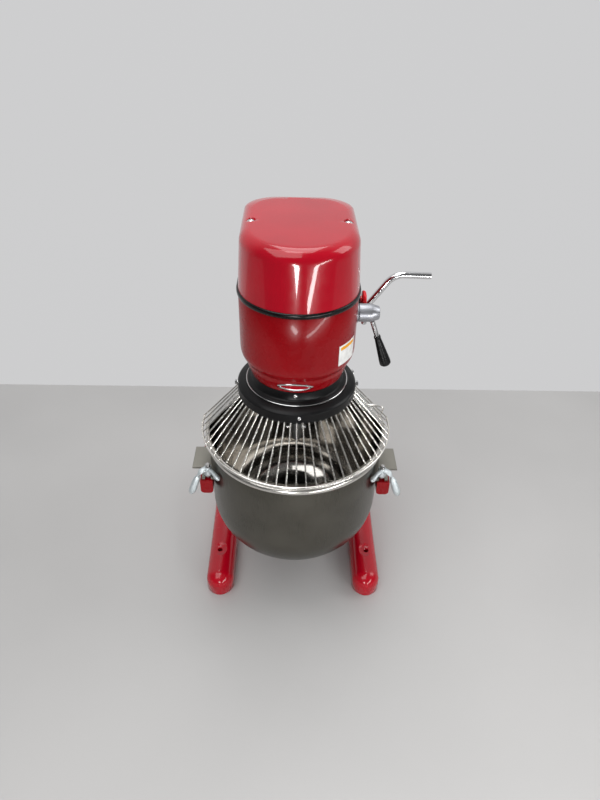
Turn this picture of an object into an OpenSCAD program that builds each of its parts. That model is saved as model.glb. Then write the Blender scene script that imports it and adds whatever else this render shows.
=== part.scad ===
// Planetary bowl mixer, 30 litre class, with a lifting bowl and a wire bowl guard.
// The shapes are laid out about the vertical planetary axis (x = 0, y = 0) with the floor at z = 0.
// placed() then moves everything so that the origin is the centre of the four floor bolt holes.
// Front is -Y, the operator's levers are on +X.

/* [Bowl] */
// Outer radius of the bowl's wall
bowl_r = 189; // [186:1:191]
// Thickness of the bowl's sheet
bowl_wall = 2; // [1.5:0.5:3]
// Height of the bowl's rim above the floor, bowl raised
bowl_top = 434; // [432:1:434]
// Height of the bowl's underside above the floor, bowl raised
bowl_bottom = 125; // [122:1:140]
// Radius that joins the bowl's wall to its flat bottom
bowl_corner = 124; // [110:1:130]
// Height of the rolled band round the rim
rim_band_h = 25; // [18:1:28]

/* [Lift] */
// Height of the lift shaft above the floor
lift_z = 461; // [455:1:465]
// Gear module of the lift rack and pinion
lift_module = 3; // [3]
// Teeth on the lift pinion
lift_teeth = 20; // [20]
// Diameter of the bent lift lever
lever_d = 16; // [12:1:18]

/* [Base] */
// Half the overall width over the two legs
base_half_w = 212; // [206:1:220]
// Width of one leg
leg_w = 66; // [56:1:68]
// Half the distance across between the floor bolt holes
floor_hole_x = 184; // [178:1:188]
// Half the distance front to back between the floor bolt holes
floor_hole_y = 155; // [150:1:160]
// Radius of the floor bolt holes
floor_hole_r = 5.5; // [4.5:0.5:6.5]

/* [Head] */
// Half width of the head, which is also the radius of its round front
head_r = 113; // [110:0.5:114]
// Height of the underside of the head's body
head_bottom = 620; // [620]
// Height of the joint face that carries the trim strip
head_top = 757; // [757]
// Overall height of the machine
cover_top = 876; // [874:1:880]
// Distance from the planetary axis to the back of the head
head_back = 254; // [250:1:256]

/* [Guard] */
// Radius of the guard's bottom ring, to the middle of its wire
guard_r = 202.5; // [198:0.5:204]
// Height of the guard's bottom ring
guard_z = 440; // [440]
// Outer radius of the turning collar
collar_r = 121.8; // [120:0.1:123]
// Number of slanting wires
wire_count = 35; // [25:1:35]
// Angle that the wires cover
wire_span = 190; // [170:1:190]

/* [Hidden] */

RED = "firebrick";
BLACK = "#1c1c1e";
STEEL = "silver";
ZINC = "#c8ccd0";

fine = 96;                  // facets of large rounds
round_n = 48;               // facets of small rounds
fit = 0.05;                 // radial clearance of a running fit
gap = 0.3;                  // clearance between moving faces that don't bear
origin_y = 115;             // from the planetary axis to the centre of the floor holes

// bowl and its carriage
bowl_flat = bowl_r - bowl_corner;
corner_z = bowl_bottom + bowl_corner;
band_r = bowl_r + 8;
band_round = 4;
plate_z = 347;              // underside of the bowl's bracket plates
plate_t = 5;
plate_x = 226;
plate_back = 14;
plate_front = -54;
stud_x = 188;
stud_y = -76;
stud_r = 5;
yoke_in = bowl_r + 1.5;
yoke_out = 209;
yoke_bottom = 312;
carriage_x = 60;
carriage_front = 196;
carriage_back = 232;
carriage_z = [250, 342];
rail_x = [34, 50];
rail_front = 214;
rack_back = 225;            // the rack stands in a pocket of the carriage
rack_low = 260;

// column and base
column_x = 62;
column_front = 236;
column_back = 314;
column_wall = 8;
base_top = 80;
column_foot = 12;
leg_tip = -134;
leg_in = base_half_w - leg_w;
rack_base = column_front + 2;
shaft_y = rack_base + lift_module * lift_teeth / 2;   // lift shaft, 268

// head
wall = 6;
back_round = 50;            // plan radius of the head's rear corners
head_floor = 11;
strip_h = 9;
strip_out = 2;
cover_bottom = head_top + strip_h;
cover_draft = 6.5;          // how much narrower the cover is near its top
cover_edge = 28;            // radius of the cover's top edge
cover_wall = 5;
cover_steps = 9;
neck_bottom = 585;
neck_r = [93, 105];
neck_in = 78;
screw_x = 88;
screw_y = 36;

// gear train: main gear on the axis, layshaft beside it, motor behind
gear_m = 2;
main_teeth = 60;
lay_pinion_teeth = 18;
lay_gear_teeth = 48;
motor_teeth = 16;
lay_dist = gear_m * (main_teeth + lay_pinion_teeth) / 2;       // 78
motor_dist = gear_m * (lay_gear_teeth + motor_teeth) / 2;      // 64
lay_x = 45;
lay_y = sqrt(lay_dist * lay_dist - lay_x * lay_x);
motor_y = lay_y + sqrt(motor_dist * motor_dist - lay_x * lay_x);
main_shaft_r = 15;
layshaft_r = 10;
rotor_r = 8;
low_gear_z = 634;
high_gear_z = 662;
gear_h = 16;
plate_bottom = 720;
plate_h = 10;
motor_r = 66;
motor_top = 864;
motor_end = 12;

// planetary gear
planet_m = 3;
ring_teeth = 48;
planet_teeth = 16;
planet_offset = planet_m * (ring_teeth - planet_teeth) / 2;    // 48
planet_z = 562;
planet_h = 20;
tool_r = 13.5;
nose_r = 12.5;
bayonet_z = 26;
tool_end = 440;
carrier_r = 84;
carrier_z = [500, 556];

// neck ring, collar and guard
spigot_r = 101.4;           // journal that the collar turns on
collar_z = [534, 560];
flange_r = 113;
wire_r = 1.6;
guard_ring_r = 2.4;
wire_top_r = 117.5;
wire_top_z = collar_z[0] + 2;

// selector and stop switch on the right side
sel_y = 25;
sel_z = 697;
hub_r = 18;
hub_x = [118.5, 160];
stop_y = 75;
stop_z = 699;

module placed() { translate([0, -origin_y, 0]) children(); }

module ring(outer, inner, height, n = fine) {
    difference() {
        cylinder(h = height, r = outer, $fn = n);
        translate([0, 0, -1]) cylinder(h = height + 2, r = inner, $fn = n);
    }
}

// round bar from one point to another
module rod(a, b, r, n = 24) {
    d = b - a;
    length = norm(d);
    translate(a) rotate([0, acos(d[2] / length), atan2(d[1], d[0])]) cylinder(h = length, r = r, $fn = n);
}

// cylinder along +X that starts at x
module bar_x(x, y, z, r, length, n = round_n) {
    translate([x, y, z]) rotate([0, 90, 0]) cylinder(h = length, r = r, $fn = n);
}

// plan outline of the head: round front, straight sides, rounded rear corners
module head_outline(r, back, corner) {
    circle(r, $fn = fine);
    translate([-r, 0]) square([2 * r, back - corner]);
    translate([corner - r, back - 2 * corner]) square([2 * (r - corner), 2 * corner]);
    for (s = [-1, 1]) translate([s * (r - corner), back - corner]) circle(corner, $fn = fine);
}

// straight-flanked teeth: half widths are parts of one tooth pitch
function tooth_points(teeth, r_low, r_high, w_low, w_high, phase) = [
    for (i = [0 : teeth - 1], c = [[r_low, -w_low], [r_high, -w_high], [r_high, w_high], [r_low, w_low]])
        let (a = (i + c[1]) * 360 / teeth + phase) [c[0] * cos(a), c[0] * sin(a)]
];
tooth_root = 0.30;
tooth_tip = 0.14;

module spur_gear(m, teeth, height, bore, phase) {
    difference() {
        linear_extrude(height)
            polygon(tooth_points(teeth, m * (teeth / 2 - 1.2), m * (teeth / 2 + 0.9), tooth_root, tooth_tip, phase));
        translate([0, 0, -1]) cylinder(h = height + 2, r = bore, $fn = round_n);
    }
}

// ---------- base, column and slide ----------

module leg_plan() {
    r = leg_w / 2;
    translate([leg_in + r, leg_tip + r]) circle(r, $fn = fine);
    translate([leg_in, leg_tip + r]) square([leg_w, origin_y + floor_hole_y + 60 - leg_tip - r]);
}

// side view of a leg: blunt rounded nose, top rising gently to the back
module leg_side() {
    nose_r = 30;
    nose_z = 26;
    translate([leg_tip + nose_r, nose_z]) circle(nose_r, $fn = fine);
    translate([leg_tip, 0]) square([2 * nose_r, nose_z]);
    polygon([
        [leg_tip + nose_r, 0], [leg_tip + nose_r, nose_z + nose_r], [10, 58], [120, 66],
        [230, base_top], [325, base_top], [325, 0]
    ]);
}

module floor_holes() {
    for (s = [-1, 1], y = [-floor_hole_y, floor_hole_y]) translate([s * floor_hole_x, origin_y + y, -1]) {
        cylinder(h = base_top + 10, r = floor_hole_r, $fn = round_n);
        translate([0, 0, y < 0 ? 55.5 : 78]) cylinder(h = 60, r = 17, $fn = round_n);
    }
}

module base_casting() placed() color(RED) difference() {
    union() {
        for (s = [0, 1]) mirror([s, 0, 0]) intersection() {
            linear_extrude(base_top + 1) leg_plan();
            translate([base_half_w + 1, 0, 0]) rotate([90, 0, -90]) mirror([1, 0, 0])
                linear_extrude(leg_w + 2) leg_side();
        }
        translate([-leg_in, 222, 0]) cube([2 * leg_in, 103, base_top]);
    }
    floor_holes();
    for (s = [-1, 1], y = [252, 300]) translate([s * 72, y, base_top - 20]) cylinder(h = 30, r = 5, $fn = round_n);
}

module column_plan(x, front, back, corner) {
    translate([-x, front]) square([2 * x, back - front - corner]);
    translate([corner - x, front]) square([2 * (x - corner), back - front]);
    for (s = [-1, 1]) translate([s * (x - corner), back - corner]) circle(corner, $fn = fine);
}

module column() placed() color(RED) difference() {
    union() {
        translate([0, 0, base_top]) linear_extrude(head_bottom - base_top)
            column_plan(column_x, column_front, column_back, 25);
        translate([-84, 242, base_top]) cube([168, 68, column_foot]);
    }
    translate([column_wall - column_x, column_front + column_wall, base_top - 1])
        cube([2 * (column_x - column_wall), column_back - column_front - 2 * column_wall, 600]);
    translate([-13, column_front - 1, 255]) cube([26, column_wall + 2, 325]);
    translate([-40, column_back - column_wall - 1, 380]) cube([80, column_wall + 2, 180]);
    bar_x(-column_x - 1, shaft_y, lift_z, 14, 2 * column_x + 2);
    for (s = [-1, 1], y = [252, 300]) translate([s * 72, y, base_top - 1]) cylinder(h = 20, r = 5, $fn = round_n);
}

module column_bolts() placed() color(ZINC) for (s = [-1, 1], y = [252, 300]) translate([s * 72, y, 0]) {
    translate([0, 0, base_top - 20]) cylinder(h = 20 + column_foot, r = 5, $fn = round_n);
    translate([0, 0, base_top + column_foot]) cylinder(h = 7, r = 9, $fn = 6);
}

module slide_rails() placed() color(STEEL) for (s = [0, 1]) mirror([s, 0, 0])
    translate([rail_x[0], rail_front, 130]) cube([rail_x[1] - rail_x[0], column_front - rail_front, 400]);

module rear_cover() placed() color(RED) difference() {
    translate([-48, column_back, 370]) cube([96, 3, 200]);
    for (s = [-1, 1], z = [378, 562]) translate([s * 41, column_back - 1, z]) rotate([-90, 0, 0])
        cylinder(h = 5, r = 2.5, $fn = round_n);
}

module rear_cover_screws() placed() color(ZINC) for (s = [-1, 1], z = [378, 562])
    translate([s * 41, column_back, z]) rotate([-90, 0, 0]) {
        cylinder(h = 3, r = 2.5, $fn = round_n);
        translate([0, 0, 3]) cylinder(h = 2.5, r = 4.5, $fn = round_n);
    }

module lift_bushes() placed() color("darkgoldenrod") for (s = [0, 1]) mirror([s, 0, 0])
    translate([column_x - column_wall - 2, shaft_y, lift_z]) rotate([0, 90, 0]) ring(14, 9 + fit, column_wall + 6, round_n);

// ---------- head: casting, covers and trim ----------

module head_housing() placed() color(RED) difference() {
    union() {
        translate([0, 0, head_bottom]) linear_extrude(head_top - head_bottom)
            head_outline(head_r, head_back, back_round);
        translate([0, 0, neck_bottom]) cylinder(h = head_bottom - neck_bottom, r1 = neck_r[0], r2 = neck_r[1], $fn = fine);
        // shoulder that carries the head back over the column
        translate([column_x, 0, head_bottom]) rotate([90, 0, -90]) mirror([1, 0, 0]) linear_extrude(2 * column_x)
            polygon([[200, 0], [column_back, 0], [column_back, 78], [head_back, head_top - head_bottom], [200, 130]]);
    }
    translate([0, 0, head_bottom + head_floor]) linear_extrude(200)
        head_outline(head_r - wall, head_back - wall, back_round - wall);
    translate([0, 0, neck_bottom - 1]) cylinder(h = head_bottom - neck_bottom + 1, r = neck_in, $fn = fine);
    translate([0, 0, head_bottom - 1]) cylinder(h = 20, r = 26, $fn = fine);
    translate([lay_x, lay_y, head_bottom + 2]) cylinder(h = 20, r = 17, $fn = round_n);
    translate([column_wall - column_x, head_back, head_bottom - 1]) cube([2 * (column_x - column_wall), 52, 70]);
    bar_x(90, sel_y, sel_z, 12, 30);
    bar_x(90, stop_y, stop_z, 11, 30);
    translate([0, 300, 660]) rotate([-90, 0, 0]) cylinder(h = 30, r = 8, $fn = round_n);
}

module trim_strip() placed() color(BLACK) translate([0, 0, head_top]) difference() {
    linear_extrude(strip_h) head_outline(head_r + strip_out, head_back + strip_out, back_round + strip_out);
    translate([0, 0, -1]) linear_extrude(strip_h + 2) head_outline(head_r - wall, head_back - wall, back_round - wall);
}

function cover_edge_drop(z) = z > cover_top - cover_edge
    ? cover_edge - sqrt(max(0, cover_edge * cover_edge - pow(z - cover_top + cover_edge, 2))) : 0;
function cover_radius(z) = head_r - cover_draft * (z - cover_bottom) / (cover_top - cover_bottom) - cover_edge_drop(z);
back_centre = head_back - (cover_top - cover_bottom);
function cover_back(z) = back_centre + sqrt(pow(cover_top - cover_bottom, 2) - pow(z - cover_bottom, 2));
cover_levels = [for (i = [0 : cover_steps]) cover_bottom + (cover_top - cover_bottom) * sin(90 * i / cover_steps)];

// convex body through level outlines; inset makes the same shape smaller all round
module cover_body(inset) hull() for (z = cover_levels)
    translate([0, 0, z - (z > cover_bottom ? inset : 1)]) linear_extrude(0.02)
        head_outline(cover_radius(z) - inset, max(cover_back(z), back_centre + 12) - inset, back_round - inset);

module top_cover() placed() color(RED) difference() {
    intersection() {
        cover_body(0);
        translate([-200, -200, cover_bottom]) cube([400, 600, 200]);
    }
    cover_body(cover_wall);
    for (s = [-1, 1]) translate([s * screw_x, screw_y, cover_top - 4]) {
        cylinder(h = 20, r = 8, $fn = round_n);
        translate([0, 0, -20]) cylinder(h = 30, r = 3, $fn = round_n);
    }
}

// two screws on top of the cover and two on the right side of the head
module head_screws() placed() color(ZINC) {
    for (s = [-1, 1]) translate([s * screw_x, screw_y, cover_top - 4]) {
        translate([0, 0, -16]) cylinder(h = 16, r = 3, $fn = round_n);
        cylinder(h = 3, r1 = 6.5, r2 = 5, $fn = round_n);
    }
    bar_x(head_r, 12, 655, 4, 3);
    bar_x(head_r - 1, 12, 790, 4, 3.5);
}

module badge_plate() placed() color(STEEL) intersection() {
    translate([0, 0, neck_bottom]) difference() {
        cylinder(h = head_bottom - neck_bottom, r1 = neck_r[0] + 2.5, r2 = neck_r[1] + 2.5, $fn = fine);
        translate([0, 0, -0.001]) cylinder(h = head_bottom - neck_bottom + 0.002, r1 = neck_r[0] + 0.1,
                                           r2 = neck_r[1] + 0.1, $fn = fine);
    }
    rotate([0, 0, -2.6]) translate([0, -60, 604]) rotate([90, 0, 0]) linear_extrude(60) intersection() {
        translate([0, 46]) circle(57.5, $fn = fine);
        translate([0, -46]) circle(57.5, $fn = fine);
    }
}

module blank_label() placed() color("white") intersection() {
    translate([0, 0, 642]) ring(head_r + 0.5, head_r, 43);
    rotate([0, 0, -48]) translate([0, 0, 600]) linear_extrude(120)
        polygon([[0, 0], [140, 0], [140 * cos(26.5), 140 * sin(26.5)]]);
}

module selector_flange() placed() color(ZINC) difference() {
    union() {
        bar_x(head_r, sel_y, sel_z, 20, hub_x[0] - gap - head_r);
        bar_x(head_r - wall - 6, sel_y, sel_z, 12, wall + 6);
    }
    bar_x(90, sel_y, sel_z, 8 + fit, 40);
}

module stop_switch_base() placed() color(BLACK) difference() {
    union() {
        bar_x(head_r, stop_y, stop_z, 20, 125 - head_r);
        bar_x(head_r - wall - 8, stop_y, stop_z, 11, wall + 8);
    }
    bar_x(90, stop_y, stop_z, 8 + fit, 50);
}

module cable_gland() placed() color(BLACK) translate([0, column_back - 8, 660]) rotate([-90, 0, 0]) {
    ring(8, 5, 8, round_n);
    translate([0, 0, 8]) ring(12, 5, 6, 6);
    translate([0, 0, 14]) difference() {
        cylinder(h = 14, r1 = 9.5, r2 = 8, $fn = round_n);
        translate([0, 0, -1]) cylinder(h = 16, r = 5, $fn = round_n);
    }
}

// ---------- neck, guard ----------

module neck_ring() placed() color(BLACK) difference() {
    rotate_extrude($fn = fine) polygon([
        [86, 524], [flange_r, 524], [flange_r, collar_z[0] - gap - 3], [flange_r - 3, collar_z[0] - gap],
        [spigot_r, collar_z[0] - gap], [spigot_r, 563], [92, 566], [92, neck_bottom], [86, neck_bottom]
    ]);
    for (a = [0 : 90 : 270]) rotate([0, 0, a - 92]) bar_x(80, 0, 576, 2.5, 20);
}

module retaining_ring() placed() color(STEEL) translate([0, 0, collar_z[1] + gap])
    ring(spigot_r + 2.6, spigot_r, 2.3);

module neck_screws() placed() color(ZINC) for (a = [0 : 90 : 270]) rotate([0, 0, a - 92]) {
    bar_x(86, 0, 576, 2.5, 6);
    bar_x(92, 0, 576, 4, 2.5);
}

// fixed sheet guard behind the bowl, inside the turning wires
module rear_guard() placed() color(STEEL) intersection() {
    rotate_extrude($fn = fine) polygon([
        [flange_r - 1, 522.8], [flange_r - 10, 522.8], [flange_r - 10, 524], [flange_r, 524],
        [187.2, guard_z - 1], [186, guard_z - 1]
    ]);
    translate([-250, -12, 400]) cube([500, 262, 200]);
}

module guard_collar() placed() color(BLACK) rotate_extrude($fn = fine) polygon([
    [spigot_r + fit, collar_z[0]], [collar_r, collar_z[0]], [collar_r, collar_z[1] - 7],
    [collar_r - 4, collar_z[1] - 3.5], [spigot_r + 4, collar_z[1]], [spigot_r + fit, collar_z[1]]
]);

module guard_wires() placed() color(STEEL) for (i = [0 : wire_count - 1]) {
    a = -90 - wire_span / 2 + i * wire_span / (wire_count - 1);
    rotate([0, 0, a]) rod([guard_r, 0, guard_z], [wire_top_r, 0, wire_top_z], wire_r, 16);
}

module guard_ring() placed() color(STEEL) rotate([0, 0, -91 - wire_span / 2]) translate([0, 0, guard_z])
    rotate_extrude(angle = wire_span + 2, $fn = fine) translate([guard_r, 0]) circle(guard_ring_r, $fn = 24);

module guard_handle() placed() color(STEEL) {
    p = [[148.5, -16.1, 500], [183.4, -19.9, 496], [174.9, -18.9, 470]];
    rod(p[0], p[1], 2, 48);
    rod(p[1], p[2], 2, 48);
    translate(p[1]) sphere(2.6, $fn = 64);
}

module collar_screws() placed() color(ZINC) for (a = [-88, -180, 0, 19])
    rotate([0, 0, a]) bar_x(collar_r, 0, 545, 4.2, 5);

// ---------- gear train ----------

module shaft_bearings() placed() color("gray") {
    translate([0, 0, head_bottom]) ring(26, main_shaft_r + fit, head_floor);
    translate([0, 0, plate_bottom]) ring(24, main_shaft_r + fit, plate_h);
    translate([lay_x, lay_y, head_bottom + 2]) ring(17, layshaft_r + fit, head_floor - 2, round_n);
    translate([lay_x, lay_y, plate_bottom]) ring(17, layshaft_r + fit, plate_h, round_n);
    for (z = [plate_bottom + plate_h, motor_top - motor_end])
        translate([0, motor_y, z]) ring(16, rotor_r + fit, motor_end, round_n);
}

module gearbox_plate() placed() color("darkgray") translate([0, 0, plate_bottom]) difference() {
    linear_extrude(plate_h) head_outline(head_r - wall, head_back - wall, back_round - wall);
    translate([0, 0, -1]) cylinder(h = 20, r = 24, $fn = fine);
    translate([lay_x, lay_y, -1]) cylinder(h = 20, r = 17, $fn = round_n);
    translate([0, motor_y, -1]) cylinder(h = 20, r = 20, $fn = round_n);
}

module motor_shell() placed() color("dimgray") translate([0, motor_y, plate_bottom + plate_h]) {
    length = motor_top - plate_bottom - plate_h;
    difference() {
        cylinder(h = length, r = motor_r, $fn = fine);
        translate([0, 0, motor_end]) cylinder(h = length - 2 * motor_end, r = motor_r - 4, $fn = fine);
        translate([0, 0, -1]) cylinder(h = length + 2, r = 16, $fn = round_n);
    }
}

module motor_stator() placed() color("peru") translate([0, motor_y, 755]) ring(motor_r - 4, 44.2, 72);

module motor_rotor() placed() color("slategray") translate([0, motor_y, 0]) {
    translate([0, 0, high_gear_z - 4]) cylinder(h = motor_top - high_gear_z + 2, r = rotor_r, $fn = round_n);
    translate([0, 0, 755]) cylinder(h = 72, r = 43.6, $fn = fine);
}

module motor_fan() placed() color("black") translate([0, motor_y, 832]) {
    ring(14, rotor_r, 14, round_n);
    for (a = [0 : 45 : 315]) rotate([0, 0, a]) translate([13, -1.5, 0]) cube([40, 3, 14]);
}

module motor_pinion() placed() color("goldenrod") translate([0, motor_y, high_gear_z])
    spur_gear(gear_m, motor_teeth, gear_h, rotor_r, atan2(lay_y - motor_y, lay_x));

module lay_gear() placed() color("goldenrod") translate([lay_x, lay_y, high_gear_z])
    spur_gear(gear_m, lay_gear_teeth, gear_h, layshaft_r,
              atan2(lay_y - motor_y, lay_x) + 180 + 180 / lay_gear_teeth);

module lay_pinion() placed() color("goldenrod") translate([lay_x, lay_y, low_gear_z])
    spur_gear(gear_m, lay_pinion_teeth, gear_h, layshaft_r, atan2(lay_y, lay_x));

module layshaft() placed() color(STEEL) translate([lay_x, lay_y, head_bottom + 3])
    cylinder(h = plate_bottom + plate_h - head_bottom - 3, r = layshaft_r, $fn = round_n);

module main_gear() placed() color("goldenrod") translate([0, 0, low_gear_z])
    spur_gear(gear_m, main_teeth, gear_h, main_shaft_r, atan2(lay_y, lay_x) + 180 / main_teeth);

module main_shaft() placed() color(STEEL) translate([0, 0, carrier_z[0] + 4])
    cylinder(h = plate_bottom + plate_h - carrier_z[0] - 4, r = main_shaft_r, $fn = round_n);

module ring_gear() placed() color("goldenrod") translate([0, 0, planet_z - 1]) difference() {
    cylinder(h = planet_h + 2, r = 86, $fn = fine);
    translate([0, 0, -1]) linear_extrude(planet_h + 4)
        polygon(tooth_points(ring_teeth, planet_m * (ring_teeth / 2 - 0.9), planet_m * (ring_teeth / 2 + 1.25),
                             0.5 - tooth_tip, 0.5 - tooth_root, -90));
}

module planet_carrier() placed() color("#3a3b3d") difference() {
    rotate_extrude($fn = fine) polygon([
        [0, carrier_z[0]], [carrier_r - 14, carrier_z[0]], [carrier_r, carrier_z[0] + 12],
        [carrier_r, carrier_z[1]], [0, carrier_z[1]]
    ]);
    translate([0, 0, carrier_z[0] + 4]) cylinder(h = 80, r = main_shaft_r, $fn = round_n);
    translate([0, -planet_offset, carrier_z[0] - 1]) cylinder(h = 80, r = 24, $fn = round_n);
}

module planet_bearings() placed() color("gray") translate([0, -planet_offset, 0]) {
    translate([0, 0, carrier_z[0]]) ring(24, tool_r + fit, 16, round_n);
    translate([0, 0, carrier_z[1] - 16]) ring(24, tool_r + fit, 16, round_n);
}

// a tool's hub slips over the nose and locks on the cross pin
module tool_shaft() placed() color(STEEL) translate([0, -planet_offset, tool_end]) difference() {
    union() {
        cylinder(h = 18.5, r = nose_r, $fn = round_n);
        translate([0, 0, 18]) cylinder(h = planet_z + planet_h - tool_end - 18, r = tool_r, $fn = round_n);
    }
    translate([0, 0, bayonet_z]) rotate([0, 90, 0]) translate([0, 0, -20]) cylinder(h = 40, r = 4, $fn = round_n);
}

module bayonet_pin() placed() color(ZINC) bar_x(-21, -planet_offset, tool_end + bayonet_z, 4, 42, 32);

module planet_pinion() placed() color("goldenrod") translate([0, -planet_offset, planet_z])
    spur_gear(planet_m, planet_teeth, planet_h, tool_r, -90);

// ---------- selector and stop button ----------

module selector_hub() placed() color(ZINC) difference() {
    union() {
        bar_x(hub_x[0], sel_y, sel_z, hub_r, 26);
        translate([hub_x[0] + 26, sel_y, sel_z]) rotate([0, 90, 0])
            cylinder(h = hub_x[1] - hub_x[0] - 26, r1 = hub_r, r2 = 12.5, $fn = round_n);
    }
    bar_x(hub_x[0] - 1, sel_y, sel_z, 8, 13);
}

module selector_shaft() placed() color(STEEL) {
    bar_x(72, sel_y, sel_z, 8, hub_x[0] + 12 - 72);
    difference() {
        bar_x(80, sel_y, sel_z, 16, 8);
        for (a = [-35, 0, 35]) translate([79, sel_y, sel_z]) rotate([a, 0, 0]) translate([0, 0, 16])
            rotate([0, 90, 0]) cylinder(h = 10, r = 3, $fn = round_n);
    }
}

lever_dir = [22.5, 0, -61] / norm([22.5, 0, -61]);
lever_start = [147, sel_y, sel_z - 16];

module selector_rod() placed() color(ZINC) rod(lever_start + lever_dir * 2, lever_start + lever_dir * 52, 5, 32);

module selector_grip() placed() color(BLACK) {
    a = lever_start + lever_dir * 38;
    translate(a) rotate([0, acos(lever_dir[2]), 0]) difference() {
        union() {
            cylinder(h = 66, r1 = 6.8, r2 = 12.6, $fn = round_n);
            translate([0, 0, 66]) sphere(12.6, $fn = round_n);
        }
        translate([0, 0, -1]) cylinder(h = 15, r = 5, $fn = 32);
        translate([-20, -20, 72]) cube([40, 40, 20]);
    }
}

module hub_bolt() placed() color(STEEL) translate([hub_x[0] + 13, sel_y, sel_z - hub_r - 8]) {
    cylinder(h = 10, r = 3, $fn = 24);
    cylinder(h = 4.5, r = 5.5, $fn = 32);
}

module stop_button() placed() color("red") {
    bar_x(106, stop_y, stop_z, 8, 26);
    bar_x(130, stop_y, stop_z, 19, 6);
    translate([136, stop_y, stop_z]) rotate([0, 90, 0]) cylinder(h = 3, r1 = 19, r2 = 14, $fn = round_n);
}

// ---------- bowl, yoke and lift ----------

module bowl_profile(r, flat, corner, bottom) {
    translate([0, bottom]) square([flat, corner + 1]);
    translate([0, corner_z]) square([r, bowl_top - corner_z]);
    intersection() {
        translate([flat, corner_z]) circle(corner, $fn = fine);
        translate([0, 0]) square([r + 5, corner_z + 1]);
    }
}

module bowl() placed() color(STEEL) rotate_extrude($fn = fine) intersection() {
    difference() {
        bowl_profile(bowl_r, bowl_flat, bowl_corner, bowl_bottom);
        bowl_profile(bowl_r - bowl_wall, bowl_flat, bowl_corner - bowl_wall, bowl_bottom + bowl_wall);
    }
    square([bowl_r + 5, bowl_top]);
}

module bowl_rim_band() placed() color(STEEL) rotate_extrude($fn = fine) difference() {
    union() {
        translate([bowl_r, bowl_top - rim_band_h]) square([band_r - band_round - bowl_r, rim_band_h]);
        translate([bowl_r, bowl_top - rim_band_h + band_round]) square([band_r - bowl_r, rim_band_h - 2 * band_round]);
        for (z = [bowl_top - rim_band_h + band_round, bowl_top - band_round])
            translate([band_r - band_round, z]) circle(band_round, $fn = round_n);
    }
}

module bowl_brackets() placed() color(STEEL) {
    for (s = [0, 1]) mirror([s, 0, 0]) difference() {
        translate([0, 0, plate_z]) linear_extrude(plate_t) polygon([
            [plate_x, plate_back], [plate_x, plate_front], [204, plate_front], [201, -88], [175, -88],
            [175, -50], [180, -28], [180, plate_back]
        ]);
        translate([0, 0, plate_z - 1]) cylinder(h = plate_t + 2, r = bowl_r, $fn = fine);
        translate([stud_x, stud_y, plate_z - 1]) cylinder(h = plate_t + 2, r = stud_r + 1, $fn = round_n);
        translate([stud_x - stud_r - 1, -100, plate_z - 1]) cube([2 * stud_r + 2, 100 + stud_y, plate_t + 2]);
    }
    difference() {
        translate([-20, 180, carriage_z[1] + 8]) cube([40, 42, plate_t]);
        translate([0, 0, carriage_z[1]]) cylinder(h = 20, r = bowl_r, $fn = fine);
        translate([0, 209, carriage_z[1]]) cylinder(h = 20, r = 6.2, $fn = round_n);
    }
}

module yoke() placed() color(RED) difference() {
    union() {
        translate([0, 0, yoke_bottom]) intersection() {
            cylinder(h = plate_z - yoke_bottom, r = yoke_out, $fn = fine);
            translate([-250, 0, -1]) cube([500, 250, 100]);
        }
        for (s = [0, 1]) mirror([s, 0, 0]) {
            translate([170, -60, yoke_bottom]) cube([yoke_out - 170, 61, plate_z - yoke_bottom]);
            translate([0, -52, 0]) rotate([90, 0, 0]) linear_extrude(40) {
                translate([178, 319]) square([27, plate_z - 319]);
                translate([186, 311]) square([11, plate_z - 311]);
                for (x = [186, 197]) translate([x, 319]) circle(8, $fn = round_n);
            }
        }
        translate([-carriage_x, carriage_front, carriage_z[0]])
            cube([2 * carriage_x, carriage_back - carriage_front, carriage_z[1] - carriage_z[0]]);
        translate([0, 209, carriage_z[1] - 10]) cylinder(h = 18, r = 12, $fn = round_n);
        translate([0, 209, carriage_z[1]]) cylinder(h = 18, r = 6, $fn = round_n);
    }
    translate([0, 0, 200]) cylinder(h = 200, r = yoke_in, $fn = fine);
    for (s = [0, 1]) mirror([s, 0, 0]) {
        translate([rail_x[0] - gap, rail_front - gap, 200])
            cube([rail_x[1] - rail_x[0] + 2 * gap, 40, 200]);
        translate([stud_x, stud_y, 316]) cylinder(h = 60, r = stud_r, $fn = round_n);
    }
    translate([-10, rack_back, rack_low]) cube([20, 40, 200]);
}

module clamp_studs() placed() color(ZINC) for (s = [-1, 1]) translate([s * stud_x, stud_y, 0]) {
    translate([0, 0, 316]) cylinder(h = 66, r = stud_r, $fn = round_n);
    translate([0, 0, plate_z + plate_t]) ring(9.5, stud_r, 3, round_n);
}

// rounded blade from a to b that gets wider
module blade(a, b, ra, rb) hull() {
    translate(a) sphere(ra, $fn = 16);
    translate(b) sphere(rb, $fn = 16);
}

// two-armed clamp nut, its own origin on the stud axis at plate level; arms reach outward and inward
module clamp_nut() {
    difference() {
        union() {
            cylinder(h = 20, r1 = 10, r2 = 8, $fn = round_n);
            blade([5, -3, 14], [18, -10, 10], 5.5, 6);
            blade([18, -10, 10], [36, -20, -36], 6, 8);
            blade([-3, -5, 14], [-13, -18, 16], 5, 4);
            blade([-13, -18, 16], [-25, -34, 16], 4, 6);
        }
        translate([0, 0, -1]) cylinder(h = 30, r = stud_r + fit, $fn = round_n);
    }
}

nut_z = plate_z + plate_t + 3 + gap;
module clamp_nut_right() placed() color(ZINC) translate([stud_x, stud_y, nut_z]) clamp_nut();
module clamp_nut_left() placed() color(ZINC) mirror([1, 0, 0]) translate([stud_x, stud_y, nut_z]) clamp_nut();

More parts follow.
